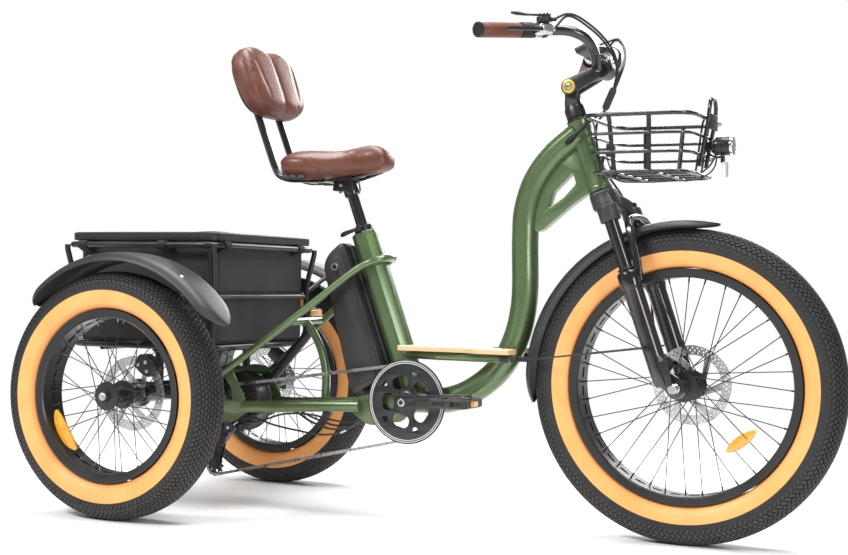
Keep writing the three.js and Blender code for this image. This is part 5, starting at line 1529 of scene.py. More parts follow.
rack = [ringTube(a - r, b - r, c, z, r) for a, b, c, z, r in (rackLook["top"], rackLook["middle"],
                                                              rackLook["bottom"])]
for s in (-1, 1):
    for k in (-1, 1):
        foot, top = (-36 + k * 207, s * 222), (-36 + k * 218, s * 244)
        rack.append(tubeShape([(*foot, 403), (*foot, 552), (*top, 640), (*top, 652)], 7, 14, bend=24))
    rack.append(tubeShape([(150, s * 229, 527), (160, s * 262, 545), (184, s * 309.5, 580)], 6, 12, bend=16))
    rack.append(tubeShape([(-190, s * 229, 527), (-168, s * 262, 545), (-118, s * 309.5, 592)], 6, 12,
                          bend=16))
rack += [tubeShape([(x, -221, 396), (x, 221, 396)], 7, 12) for x in (-160, 0, 110)]
piece("rack_tubes", rack, "satin", "frame", "cargo_rack", sharp=50)

bagLook = {"half": (204, 218, 22), "low": 411, "high": 667, "bulge": 2.6, "sag": 4.0, "crease": 1.1,
           "wall": 4.5, "count": 260}


# bag: rows run from under the middle, up the outside, over the rim and down the inside;
# the sides swell between the
# rack's rings by bulge sin^2, and hang in soft upright folds: crease sin(k s) (1 - height)
def bagShape(look):
    halfX, halfY, r = look["half"]
    loop = rectLoop(halfX, halfY, r, look["count"])
    ahead = np.roll(loop, -1, 0) - np.roll(loop, 1, 0)
    normal = np.stack([ahead[:, 1], -ahead[:, 0]], -1) / np.linalg.norm(ahead, axis=1)[:, None]
    tall = look["high"] - look["low"]
    up = np.concatenate([np.linspace(0.03, 1, 40)])

    middle = np.array((-36.0, 0.0))
    s = np.arange(look["count"]) / look["count"] * 2 * np.pi
    straight = np.clip((np.abs(normal).max(1) - 0.94) / 0.05, 0, 1)
    points = []
    for q in (0.02, 0.3, 0.6, 0.85, 0.97):
        flat = middle + (loop - middle) * q
        points.append(np.insert(flat, 2, look["low"] + 1.5 - 3 * np.sin(q * np.pi) * 0 + 3 * (1 - q), axis=1))
    for t in up:
        swell = look["bulge"] * (np.sin(np.pi * np.clip(t / 0.45, 0, 1)) ** 2
                                 + np.sin(np.pi * np.clip((t - 0.45) / 0.55, 0, 1)) ** 2 * 0.8)
        fold = look["crease"] * (np.sin(9 * s + 3 * t) + 0.6 * np.sin(17 * s - 2 * t
                + 1)) * (1 - t) * np.sin(np.pi * min(t * 1.2, 1))
        edge = -4 * (1 - min(t / 0.06, 1)) ** 2
        flat = loop + normal * (swell * straight + fold * straight + edge - 1.2)[:, None]
        points.append(np.insert(flat, 2, look["low"] + tall * t, axis=1))
    for d, z in ((2.2, look["high"] + 1.2), (look["wall"], look["high"]), (look["wall"], look["high"] - 20),
                 (look["wall"] + 1, look["low"] + 60),
                 (look["wall"] + 2, look["low"] + 12), (look["wall"] + 10, look["low"] + 6)):
        points.append(np.insert(loop - normal * d, 2, z, axis=1))
    for q in (0.7, 0.4, 0.02):
        points.append(np.insert(middle + (loop - middle) * q, 2, look["low"] + 5.5, axis=1))
    return gridShape(np.stack(points), closeColumns=True, ends=True)


piece("cargo_bag", [bagShape(bagLook)], "cloth", "frame", "cargo_box", sharp=50)
piping = [ringTube(203, 217, 21, z, 1.6, 240) for z in (414, 540)]
piece("bag_piping", piping, "webbing", "frame", sharp=60)

lidLook = {"half": (217, 236, 24), "low": 663, "high": 687, "crown": 5.0, "hump": 6.0}


# lid: crowned top, z = high + crown (1 - a^4)(1 - b^4) less a dip,
# with a welt at its edge and a skirt under it
def lidShape(look):
    halfX, halfY, r = look["half"]
    loop = rectLoop(halfX, halfY, r, 240)
    middle = np.array((-36.0, 0.0))
    rows = []
    for q in (0.004, 0.12, 0.25, 0.4, 0.55, 0.7, 0.82, 0.9, 0.95, 0.975):
        flat = middle + (loop - middle) * q
        a, b = (flat[:, 0] + 36) / halfX, flat[:, 1] / halfY
        z = look["high"] - 4 + look["crown"] * (1 - a ** 4) * (1 - b ** 4) * 0.8
        z += 2.2 * np.sin(2.4 * a + 0.6) * np.cos(1.9 * b) * (1 - q ** 4)
        z += look["hump"] * 0.5 * np.exp(-(((a - 0.86) / 0.12) ** 2 + ((b + 0.8) / 0.25) ** 2))
        rows.append(np.insert(flat, 2, np.minimum(z, look["high"] + 1.5), axis=1))
    for q, z in ((0.99, -5.0), (0.998, -7.5), (1.0, -10.5), (1.0, -16), (0.999, -22), (0.995, -24),
                 (0.985, -24), (0.98, -22), (0.98, -12), (0.97, -10)):
        rows.append(np.insert(middle + (loop - middle) * q, 2, look["high"] + z, axis=1))
    for q in (0.7, 0.4, 0.004):
        rows.append(np.insert(middle + (loop - middle) * q, 2, look["high"] - 9.5, axis=1))
    return gridShape(np.stack(rows), closeColumns=True, ends=True)


piece("lid_cover", [lidShape(lidLook)], "cloth", "box_lid", "box_lid", sharp=46)
piece("lid_welt", [ringTube(215.6, 234.6, 23, 679.2, 1.9, 240)], "webbing", "box_lid",
      sharp=60)


# strap: a flat band wrapped once round the rail, its ends laid on the bag
def strapShape(place, out):
    along = np.array((-out[1], out[0], 0.0))
    out = np.array((*out, 0.0))
    t = np.radians(np.arange(-70, 251, 16))
    ring = 9.3
    path = np.array(place) + ring * (np.cos(t)[:, None] * out + np.sin(t)[:, None] * np.array((0, 0, 1.0)))
    tail = np.array(place) - out * 19 + np.array((0, 0, 1.0)) * np.array([[10.0], [-10.0]])
    line = np.vstack([np.array(place) - out * 20 + (0, 0, -20), path, tail[:1] + (0, 0, 2)])
    return sweepShape(bentPath(line, 4, 3), roundedRect(13, 0.9, 0.8, steps=3), along)


strapSpots = [((x, s * 245.5, 652), (0, s)) for x in (-203, 36) for s in (-1, 1)]
strapSpots += [((183.5, y, 652), (1, 0)) for y in (-190, 162)] + [((-255.5, y, 652), (-1, 0))
                                                                  for y in (-170, 170)]
piece("rail_straps", [strapShape(np.array(p), o) for p, o in strapSpots], "webbing", "frame",
      sharp=40)


# fender: half width w(s) narrows to rounded ends, the section is R - lip |v|^3.4 with a rolled edge bead
def fenderShape(look):
    start, end, tip = math.radians(look["start"]), math.radians(look["end"]), look["tip"] / look["radius"]
    inset = 1 - np.cos(np.linspace(0, np.pi / 2, 16))
    a = np.concatenate([start + tip * inset, np.linspace(start + tip, end - tip, 90)[1:-1],
                        (end - tip * inset)[::-1]])
    near = np.minimum(np.clip((a - start) / tip, 0, 1), np.clip((end - a) / tip, 0, 1))
    taper = np.clip(1 - (1 - near) ** look["point"], 0.02, 1) ** look["round"]
    v = np.sin(np.linspace(-np.pi / 2, np.pi / 2, 25))
    outer = np.stack([v, -look["lip"] * np.abs(v) ** 6 + 1.8 * (1 - v ** 2)], -1)
    roll = [(1.0, -look["lip"] - 1.6), (0.985, -look["lip"] - 2.4), (0.965, -look["lip"] - 1.6)]
    left = [(-x, y) for x, y in roll[::-1]]
    inner = np.stack([v[::-1] * 0.96, outer[::-1, 1] - 2.8], -1)
    section = np.vstack([outer, roll, inner, left])
    w = look["half"] * taper
    y = look["centre"][1] + w[:, None] * section[None, :, 0]
    r = look["radius"] + section[None, :, 1] * (0.25 + 0.75 * taper[:, None])
    x = look["centre"][0] + r * np.cos(a)[:, None]
    z = look["centre"][2] + r * np.sin(a)[:, None]
    return gridShape(np.stack([x, y, z], -1), closeColumns=True, ends=True)


fenders = {
    "fender_skin_right": {"centre": (25, -376.5, 292), "radius": 337, "start": 31, "end": 142, "half": 62,
                          "lip": 17, "tip": 66, "point": 1.6, "round": 0.62},
    "fender_skin_left": {"centre": (25, 376.5, 292), "radius": 337, "start": 31, "end": 142, "half": 62,
                         "lip": 17, "tip": 66, "point": 1.6, "round": 0.62},
    "fender_skin_front": {"centre": (1274, 0, 350), "radius": 368, "start": 79, "end": 188.5, "half": 57,
                          "lip": 13, "tip": 80, "point": 1.6, "round": 0.7},
}
piece("fender_skin_right", [fenderShape(fenders["fender_skin_right"])], "guard", "frame", "rear_fender_right",
      sharp=50)
piece("fender_skin_left", [fenderShape(fenders["fender_skin_left"])], "guard", "frame", "rear_fender_left",
      sharp=50)
piece("fender_skin_front", [fenderShape(fenders["fender_skin_front"])], "guard", "fork_lower", "front_fender",
      sharp=50)


def boltHead(spot, normal, radius=4.2, height=2.6):
    axis = np.array(normal, float) / np.linalg.norm(normal)
    profile = [(0.02, 0), (radius, 0), (radius * 0.92, height * 0.55), (radius * 0.55, height),
               (radius * 0.42, height), (radius * 0.34, height * 0.4), (0.02, height * 0.4)]
    shape = turnShape(profile, 20)
    side = np.cross(axis, (0.2, 0.9, 0.1))
    side /= np.linalg.norm(side)
    return moved(shape, basis(spot, side, axis, np.cross(side, axis)))


guardBolts = []
for s in (-1, 1):
    for a in (57, 104):
        c = math.cos(math.radians(a)), math.sin(math.radians(a))
        guardBolts.append(boltHead((25 + 336.6 * c[0], s * (376.5 + 34), 292 + 336.6 * c[1]),
                                   (c[0], s * 0.2, c[1]), 5.4, 3.0))
piece("fender_bolts", guardBolts, "steel", "frame", sharp=40)
stay = [bothSides(tubeShape([(904, 53, 398), (950, 72, 402), (1080, 95, 419), (1206, 117, 436)], 2.2, 10,
                            bend=18))]
eyelet = bothSides(turnShape([(4.2, 114.8), (7, 114.8), (7.4, 116), (7.4, 119.5), (7, 120.6), (4.2, 120.6)],
                             24, (1214, 437)))
clip = [bothSides(plateShape([rounded([(-11, -6), (11, -6), (11, 6), (-11, 6)], 3)], 4,
                             inXZ(55.5, (905, 398)), 1.0))]
piece("fender_stays", stay + [eyelet] + clip, "satin", "fork_lower", sharp=50)

batteryLook = {"outline": [(-42, 74), (-136, 60), (-148, 74), (-118, 386), (-96, 410), (-56, 424),
                           (-42, 418)], "half": 44.6}
caseLine = rounded(batteryLook["outline"], 22, 7)
onSeat = lambda y: np.array(seatPlace) @ np.array(inXZ(y))
case = [plateShape([caseLine], 2 * batteryLook["half"] - 2, onSeat(0), 11.0)]
panel = rounded([(-62, 86), (-122, 78), (-130, 90), (-106, 372), (-90, 392), (-66, 398)], 12)
case.append(plateShape([panel], 2 * batteryLook["half"], onSeat(0), 1.2))
ridge = rounded([(-57, 84), (-50, 84), (-50, 400), (-57, 400)], 3)
case.append(plateShape([ridge], 2 * batteryLook["half"] + 1.4, onSeat(0), 1.0))
handleLine = rounded([(-112, 396), (-96, 414), (-62, 426), (-66, 418), (-94, 405), (-106, 390)], 4)
case.append(plateShape([handleLine], 46, onSeat(0), 2.0))
piece("battery_case", case, "plastic", "frame", "battery", sharp=32)
lockAt = at(seatPlace, (-84, -44.6, 372))
lock = turnShape([(0.02, 0), (3.0, 0), (3.0, 1.2), (6.0, 1.2), (6.4, 2.0), (8.6, 2.0), (9.2, 1.2), (9.2, -1),
                  (0.02, -1)], 32)
piece("battery_lock", [moved((lock[0] * (1, -1, 1), lock[1]), Matrix.Translation(lockAt))], "alloy", "frame",
      sharp=34)
drop = plateShape([rounded([(-9, 6), (0, 12), (10, 6), (6, -14), (2, -26), (-4, -12)], 6)], 1.6,
                  np.array(seatPlace) @ np.array(inXZ(-45.0, (-84, 368))), 0.5)
piece("lock_recess", [drop], "satin", "frame", sharp=34)
mount = [moved(boxShape((-41.4, -33.9), (-20, 20), (40, 410)), seatPlace),
         plateShape([rounded([(-130, 28), (-34.6, 28), (-34.6, 56), (-126, 56)], 6)], 56, onSeat(0), 2.0)]
piece("battery_rail", mount, "plastic", "frame", "battery_mount", sharp=34, bevel=0.8)

half = [(587, -36), (587, -70), (762, -70), (802, -96), (886, -96), (886, -38), (802, -38)]
boardLine = half + [(x, -y) for x, y in half[::-1]] + [(606, 36), (606, -36)]
line = np.array(boardLine[:-2] + boardLine[-2:], float)
edgeRound = rounded(line, 12, 6)
under = plateShape([edgeRound], 10.6, inXY(413.5), 1.0)
top = plateShape([edgeRound], 1.6, inXY(419.2), 0.6)
piece("board_core", [under], "ply", "frame", "foot_board", sharp=34)
piece("board_face", [top], "wood", "frame", sharp=34)
boardBolts = [boltHead((x, y, 420), (0, 0, 1), 4.6, 1.6) for x,
              y in ((640, 30), (640, -30), (700, 48), (700, -48), (850, 52), (850, -52))]
piece("board_bolts", boardBolts, "steel", "frame", sharp=40)
bumpers = [bothSides(tubeShape([(852, 58, 399), (876, 59.5, 399)], 11.6, 20)),
           bothSides(tubeShape([(588, 19, 402), (606, 24.6, 402)], 5.4, 12))]
piece("board_bumpers", bumpers[:1], "cable", "frame", bevel=1.2)

calipers = {"left": ((0, 292), 1, 58, 288, 322), "right": ((0, 292), -1, 58, -322, -288),
            "front": ((1274, 350), 1, 152, 37, 66)}
for name, (centre, side, turn, low, high) in calipers.items():
    house, screws = caliperShape(centre, side, turn, low, high)
    owner = "fork_lower" if name == "front" else "frame"
    nodeName = "front_caliper" if name == "front" else f"rear_caliper_{name}"
    piece(f"caliper_house_{name}", [house], "satin", owner, nodeName, sharp=34)
    piece(f"caliper_bolts_{name}", [screws], "steel", owner, sharp=34)
print("cargo and fenders drawn")
# fork, stem, bar and controls


def inSteer(shape):
    return moved(shape, steerPlace)


def legTurn(profile, y, segments=40, u=28):  # (radius, height w) turned about a leg's own line
    shape = turnShape(profile, segments)
    return inSteer((shape[0][:, [0, 2, 1]] + (u, y, 0), shape[1]))


crownPlate = inSteer(plateShape([rounded([(-26, -20), (-14, -37), (26, -37), (35, -20), (35, 20), (26, 37),
                                          (-14, 37), (-26, 20)], 9)], 42, inXY(-29), 7.0))
arms = []
for s in (-1, 1):
    line = splinePath([(4, 18 * s, -28), (10, 40 * s, -31), (20, 68 * s, -42), (28, 92 * s, -66)], 26)
    grow = np.interp(np.linspace(0, 1, 26), [0, 0.5, 1], [1.0, 0.86, 1.12])
    arms.append(sweepShape([at(steerPlace, p) for p in line], roundedRect(15, 18, 8, steps=5),
                           at(steerPlace, (1, 0, 0)) - at(steerPlace, (0, 0, 0)), grow))
    arms.append(legTurn([(14, -92), (22, -92), (23.4, -90), (23.4, -60), (22.4, -56), (19.4, -54),
                         (17.8, -53), (0.02, -53)], 92 * s))
piece("crown_forging", [crownPlate, *arms], "cast", "steering", "fork_crown", sharp=44)
steerer = [aroundLean([(0.02, -20), (14, -20), (14, 200), (0.02, 200)], 32, steerPlace),
           aroundLean([(16, -8), (27, -8), (28, -6.6), (28, -5.4), (16, -5.2)], 48, steerPlace)]
legs = [legTurn([(0.02, -320), (15.5, -320), (15.5, -60), (0.02, -60)], 92 * s) for s in (-1, 1)]
piece("stanchions", legs, "gloss", "steering", sharp=40)
knobLine = [(0.02, -52.8), (15.5, -52.8), (16.4, -51.6), (16.4, -44), (15.2, -42.4), (10, -42), (9.4, -42.8),
            (0.02, -42.8)]
flatCap = [(0.02, -53.2), (15.5, -53.2), (16, -52.2), (15.6, -50.4), (11.6, -49.8), (11, -51.2),
           (0.02, -51.2)]
notches = [rodsShape([at(steerPlace, (28 + 16.2 * math.cos(a), 92 + 16.2 * math.sin(a), -51))],
                     [at(steerPlace, (28 + 16.2 * math.cos(a), 92 + 16.2 * math.sin(a), -44))], 1.5, 8)
           for a in np.radians(np.arange(12) * 30)]
piece("fork_caps", [legTurn(knobLine, 92), *notches, legTurn(flatCap, -92), *steerer], "satin", "steering",
      sharp=36)

lowerLine = [(16.4, -208.6), (20, -209), (23, -211), (25.4, -215), (25.6, -240), (24, -248), (22, -256),
             (21.6, -330), (21.8, -430), (21, -462), (17, -472), (0.02, -472)]
lowers = [legTurn(lowerLine, 92 * s, 44) for s in (-1, 1)]
seals = [legTurn([(15.9, -207), (19, -206.4), (20.4, -204.4), (18, -201.6), (15.9, -200.8)], 92 * s)
         for s in (-1, 1)]
archLine = splinePath([(46, 92, -236), (57, 92, -190), (60, 91, -152), (60, 80, -114), (60, 56, -97),
                       (60, 26, -92), (60, 0, -91), (60, -26, -92), (60, -56, -97),
                       (60, -80, -114), (60, -91, -152), (57, -92, -190), (46, -92, -236)], 130)
archScale = np.interp(np.linspace(0, 1, 130), [0, 0.16, 0.5, 0.84, 1], [1.15, 0.9, 1.0, 0.9, 1.15])
arch = sweepShape([at(steerPlace, p) for p in archLine], roundedRect(9.5, 6.6, 4.4, steps=4),
                  at(steerPlace, (1, 0, 0)) - at(steerPlace, (0, 0, 0)), archScale)
dropouts = []
for s in (-1, 1):
    outline = rounded([(16, -460), (20, -430), (36, -430), (66, -470), (66, -500), (54, -508), (34, -506)], 9)
    place = np.array(steerPlace) @ basis((0, 82 * s, 0), (1, 0, 0), (0, 0, 1), (0, -1, 0))
    dropouts.append(plateShape([outline, circle(5.7, 24) + (50.6, -484.9)], 19, place, 2.4))
piece("fork_legs", [*lowers, arch, *dropouts], "gloss", "fork_lower", "fork_lowers", sharp=44)
piece("fork_seals", seals, "cable", "fork_lower", sharp=40)

axleParts = [turnShape([(0.02, -104), (5, -104), (5, 104), (0.02, 104)], 24, (1274, 350)),
             turnShape([(5.1, 92.6), (9, 92.6), (11, 95), (11, 106), (9, 108), (5.1, 108)], 6, (1274, 350)),
             turnShape([(0.02, -124), (9.4, -124), (11, -122), (11, -112), (8, -110), (8, -102), (11, -99),
                        (11, -93.4), (5.1, -92.6), (0.02, -92.6)], 36, (1274, 350))]
piece("axle_skewer", axleParts, "steel", "front_lever", "front_axle_lever", sharp=36)
leverCurve = splinePath([(1271, -120, 352), (1264, -123, 372), (1254, -122, 396), (1242, -118, 420)], 30)
piece("axle_handle", [sweepShape(leverCurve, roundedRect(3.4, 7.4, 2.6, steps=4), (0, 1, 0),
                                 np.interp(np.linspace(0, 1, 30), [0, 0.25, 0.8, 1],
                                           [1.0, 0.78, 1.15, 0.6]))],
      "satin", "front_lever", sharp=50)

hosePath = [(1070, 10, 964), (1045, 33, 944), (1040, 56, 888), (1048, 100, 836), (1074, 126, 790),
            (1128, 126, 700), (1152, 121, 580), (1168, 96, 490), (1188, 76, 430), (1197, 72, 408)]
hose = piece("brake_hose_front", [tubeShape(hosePath, 2.7, 12, count=140)], "cable", None, "front_brake_hose",
             sharp=60)
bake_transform(hose)

# stem: quill base, two cheeks round the pivot, a forged arm that swells to the bar clamp
base = [aroundLean([(14.5, 171.6), (21, 171.6), (24, 174), (24, 196), (20, 204), (14.5, 206)], 48,
                   steerPlace),
        aroundLean([(14.5, 165.2), (26, 165.4), (26.6, 168), (25, 170.8), (14.5, 171)], 48, steerPlace)]
neckLine = [at(steerPlace, p) for p in splinePath([(0, 0, 198), (2, 0, 214), (7, 0, 232), (9.7, 0, 246)], 16)]
base.append(sweepShape(neckLine, roundedRect(11.4, 18, 7, steps=5), (0, 1, 0),
                       np.interp(np.linspace(0, 1, 16), [0, 0.5, 1], [1.15, 0.95, 1.0])))
base.append(turnShape([(0.02, -11.6), (18.4, -11.6), (19, -10.8), (19, 10.8), (18.4, 11.6), (0.02, 11.6)], 48,
                      (994, 1026)))
piece("stem_foot", base, "satin", "steering", "stem_base", sharp=40)
cheeks = [plateShape([linkOutline((994, 1026), (1050, 1052), 19.6, 15, 16)], 10, inXZ(17 * s), 2.4)
          for s in (-1, 1)]
armLine = splinePath([(1016, 0, 1037), (1030, 0, 1044), (1046, 0, 1051), (1060, 0, 1058), (1071, 0, 1063)],
                     30)
arm = sweepShape(armLine, roundedRect(20, 15, 9, steps=6), (0, 1, 0),
                 np.interp(np.linspace(0, 1, 30), [0, 0.35, 1], [0.92, 0.84, 1.15]))
clampBody = turnShape([(11.8, -27), (20, -27), (21.4, -25.6), (21.4, 25.6), (20, 27), (11.8, 27)], 56,
                      (1071, 1063))
facePlate = [plateShape([rounded([(-15, -24), (15, -24), (15, 24), (-15, 24)], 6)], 5,
                        basis((1092, 0, 1071), (-0.36, 0, 0.93), (0, 1, 0), (-0.93, 0, -0.36)), 1.4)]
piece("stem_forging", [*cheeks, arm, clampBody, *facePlate], "satin", "stem", "stem_arm",
      sharp=40)
pivotRings, pivotBolts = [], []
for s in (-1, 1):
    ring = turnShape([(9.2, 0), (14.8, 0), (15.4, 0.6), (15.4, 2.6), (14.4, 3.2), (9.8, 3.2), (9.2, 2.6)], 48)
    pivotRings.append(moved((ring[0] * (1, s, 1), ring[1]), Matrix.Translation((994, s * 21.6, 1026))))
    pivotBolts.append(boltHead((994, s * 21.6, 1026), (0, s, 0), 8.8, 4.6))
faceBolts = [boltHead((1094.6 + u * -0.36, y, 1072 + u * 0.93), (0.93, 0, 0.36), 3.6, 2.4) for u in (-10, 10)
             for y in (-18, 18)]
piece("pivot_rings", pivotRings, "gold", "stem", sharp=40)
piece("pivot_bolts", pivotBolts + faceBolts, "alloy", "stem", sharp=40)

gripIn, gripOut = np.array((955, 235, 1122.0)), np.array((904, 350, 1107.0))
gripWay = (gripOut - gripIn) / np.linalg.norm(gripOut - gripIn)
onGrip = lambda a: tuple(gripIn + gripWay * a)
halfBar = [(1071, 0, 1063), (1071, 32, 1063), (1071, 50, 1065), (1074, 84, 1091), (1064, 112, 1117),
           (1034, 136, 1131), onGrip(-92), onGrip(-60), onGrip(0), onGrip(60), onGrip(123)]
barPath = [(x, -y, z) for x, y, z in halfBar[:0:-1]] + halfBar
piece("bar_tube", [tubeShape(barPath, 11.2, 24, count=260)], "gloss", "stem", "handlebar",
      sharp=60)

# controls are drawn once for the right hand, x outwards along the grip, y ahead of it, z above it
handPlace = basis((955, -235, 1122), (-0.40255, -0.90771, -0.1184), (0.9154, -0.39917, -0.05207),
                  (0, -0.12934, 0.9916))


def barTurn(profile, segments=40):
    shape = turnShape(profile, segments)
    return moved((shape[0][:, [1, 0, 2]], shape[1]), handPlace)


def handPlate(outline, low, high, bevel):
    return plateShape([outline], high - low, np.array(handPlace) @ inXY((low + high) / 2), bevel)


def handTube(points, radius, sides=16, **how):
    return moved(tubeShape(points, radius, sides, **how), handPlace)


a = np.linspace(1.5, 121, 46)
palm = 15.0 + 1.1 * np.sin(np.pi * (a - 1.5) / 119.5) ** 0.8
gripLine = [(11.6, 0.8), (14.2, 0.8)] + list(zip(palm, a)) + [(14.6, 123), (11.6, 123.4)]
gripSeam = handTube([(x, 0, -16.0) for x in np.linspace(4, 119, 12)], 0.8, 6)
endCap = barTurn([(11.6, 120.5), (16.2, 120.5), (16.6, 121.4), (16.6, 125), (15, 126.6), (0.02, 126.6)])
lockRing = barTurn([(11.6, -0.1), (15.4, -0.1), (16, 0.5), (16, 3.6), (15.4, 4.2), (11.6, 4.2)])
ribs = [(11.7, -39.6), (16, -39.6)]
for k in range(12):
    ribs += [(17, -38.6 + k * 3.1), (17, -37.2 + k * 3.1), (15.9, -36.6 + k * 3.1)]
ribs += [(16.4, -0.8), (11.7, -0.8)]
window = handPlate(rounded([(-58, 20), (-26, 24), (-26, 42), (-58, 42)], 5), 9.6, 11.6, 0.7)
housing = [barTurn([(11.7, -62), (16.2, -62), (17, -61), (17, -43), (16.2, -42), (11.7, -42)]),
           handPlate(rounded([(-61, 8), (-44, 8), (-44, 17), (-22, 20), (-24, 44), (-34, 47), (-60, 45)], 5),
                     -12, 10.4, 3.2)]
clampBolts = [moved(boltHead((-52, 17, -9), (0, 0, -1), 3.4, 3), handPlace),
              moved(boltHead((-34, 36, 11), (0, 0, 1), 4.2, 1.8), handPlace)]
adjuster = handTube([(-60, 30, 0), (-76, 31, 0)], 4.6, 18)
blade = handPlate(rounded([(-42, 30), (-28, 30), (0, 38), (70, 44), (92, 50), (92, 58), (64, 54), (-4, 50),
                           (-34, 44)], 5, 5), -4, 4, 2.4)
for name, s in (("right", -1), ("left", 1)):
    sided = (lambda shape: shape) if s < 0 else mirrorY
    piece(f"grip_hide_{name}", [sided(barTurn(gripLine, 48))], "gripHide", "stem", f"grip_{name}",
          sharp=60)
    piece(f"grip_seam_{name}", [sided(gripSeam)], "thread", "stem", sharp=60)
    piece(f"grip_ends_{name}", [sided(endCap), sided(lockRing)], "satin", "stem", sharp=40)
    piece(f"lever_house_{name}", [sided(part) for part in housing + [adjuster]], "chrome", "stem",
          f"brake_body_{name}", sharp=36)
    piece(f"lever_window_{name}", [sided(window)] + [sided(bolt) for bolt in clampBolts[:1]], "satin", "stem",
          sharp=36)
    piece(f"lever_bolt_{name}", [sided(clampBolts[1])], "steel", "stem", sharp=36)
    piece(f"lever_blade_{name}", [sided(blade)], "satin", f"brake_lever_{name}", f"brake_lever_{name}",
          sharp=36)
piece("throttle_sleeve", [barTurn(ribs, 40)], "plastic", "throttle", "throttle_grip",
      sharp=36)
shifter = [barTurn([(11.8, -78), (16, -78), (16.8, -77), (16.8, -67), (16, -66), (11.8, -66)]),
           handPlate(circle(17, 40) + (-73, 4), 17.5, 29.6, 2.2),
           handPlate(rounded([(-80, -6), (-66, -6), (-66, 14), (-80, 14)], 4), 10, 20, 2.0),
           handTube([(-84, 10, 23), (-98, 16, 23)], 4.2, 16)]
piece("shifter_case", shifter, "plastic", "stem", "shifter_body", sharp=36)
paddleLine = splinePath([(-78, -8, 34), (-66, -20, 35), (-50, -34, 37), (-36, -44, 40), (-26, -50, 42)], 24)
paddle = moved(sweepShape(paddleLine, roundedRect(2.6, 6.2, 2.2, steps=4), (0, 0, 1),
                          np.interp(np.linspace(0, 1, 24), [0, 0.4, 0.85, 1], [1.0, 0.85, 1.5, 0.9])),
                          handPlace)
piece("shift_paddle", [handPlate(circle(15.6, 40) + (-73, 4), 30.7, 35.6, 1.6), paddle], "plastic",
      "shift_lever", "shift_lever", sharp=36)
dome = turnShape([(0.02, 0), (11.4, 0), (11.4, 1.4), (10, 3.4), (6, 4.8), (0.02, 5.2)], 40)
domeUp = moved((dome[0][:, [0, 2, 1]], dome[1]), np.array(handPlace)
               @ np.array(Matrix.Translation((-73, 4, 35.6))))
piece("shift_dome", [domeUp], "chrome", "shift_lever", sharp=40)

# display, cables gathered below the stem
screenTurn = Matrix.Translation((1030, 0, 1112)) @ Matrix.Rotation(math.radians(-25), 4, "Y")
slab = moved(plateShape([rounded([(-20, -36), (20, -36), (20, 36), (-20, 36)], 6)], 13, None, 2.2),
             screenTurn)
glass = moved(plateShape([rounded([(-16, -32), (17, -32), (17, 32), (-16, 32)], 4)], 1.2, inXY(6.6), 0.4),
              screenTurn)
arms = [tubeShape([(1034, 0, 1106), (1052, 0, 1101), (1066, 0, 1093)], 5.4, 16, count=20),
        turnShape([(0.02, -9), (6.4, -9), (7, -8), (7, 8), (6.4, 9), (0.02, 9)], 32, (1066, 1091))]
piece("display_case", [slab, *arms], "plastic", "stem", "display", sharp=36)
piece("display_glass", [glass], "screen", "stem", sharp=36)
button = moved(boltHead((-12, -34, 2), (0, -1, 0), 3.0, 1.8), screenTurn)
piece("power_button", [button], "red", "stem", sharp=40)

runs = []
for s, offset, drop in ((-1, 0.0, 0), (-1, 3.2, 16), (1, 0.0, 0), (1, 3.2, 12)):
    runs.append([tuple(at(handPlace, (-78 - offset, 31 - offset * 5, 3 + offset * 5)) * (1, -s, 1)),
                 (1040 + offset, s * 170, 1158 + drop * 0.3), (1078, s * (120 - drop), 1136 + drop * 0.4),
                 (1100 + offset, s * (66 - drop), 1104), (1106 + offset, s * 22, 1070),
                 (1101 + offset, s * (5 + offset), 1042), (1094 + offset * 0.5, s * 2.2, 1016)])
    runs[-1][0] = tuple(np.array(at(handPlace, (-78 - offset, 31 - offset * 5, 3 + offset * 5))) * (1,
            1 if s < 0 else -1, 1))
upper = piece("cables_upper", [tubeShape(run, 2.5, 10, count=90) for run in runs], "cable", None,
              "cable_loom_upper", sharp=60)
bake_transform(upper)
lowerRun = [(1074, 0, 974), (1071, -2, 966), (1057, -14, 957), (1043, -30, 940), (1020, -37, 918),
            (1004, -34, 903), (992, -24, 893)]
lower = piece("cables_lower", [tubeShape([(x, y + k, z - abs(k)) for x, y, z in lowerRun], 2.5, 10, count=60)
                               for k in (-2.6, 0, 2.6)], "cable", None, "cable_loom_lower",
              sharp=60)
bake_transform(lower)
sheath = [sweepShape(splinePath([(1095, 0, 1020), (1089, 0, 1006), (1081, 0, 988), (1074, 0, 972)], 24),
                     circle(8.4, 28), (0, 1, 0),
                     np.interp(np.linspace(0, 1, 24), [0, 0.06, 0.1, 0.9, 0.95, 1],
                               [0.8, 0.8, 1, 1, 0.8, 0.8]))]
piece("cable_sheath", sheath, "cast", "steering", sharp=40)
port = [sweepShape([(1004 + 13 * math.cos(t), -31.6 - 2 * math.cos(t),
                     902 + 7 * math.sin(t) + 9 * math.cos(t)) for t in np.linspace(0, 2 * np.pi, 32,
                             endpoint=False)], circle(2.2, 8), (0, 1, 0), closed=True)]
piece("cable_port", port, "plastic", "frame", sharp=60)
print("steering drawn")
# basket, lamp and reflectors
basketLook = {"centre": (1189, 0), "half": (129, 150, 45), "top": 943, "floor": 818, "taper": 0.14,
              "rings": [(943, 4.8), (902, 3.6), (862, 3.6), (820, 4.0)]}


def basketTaper(z):
    return 1 - basketLook["taper"] * (basketLook["top"] - z) / (basketLook["top"] - basketLook["floor"])


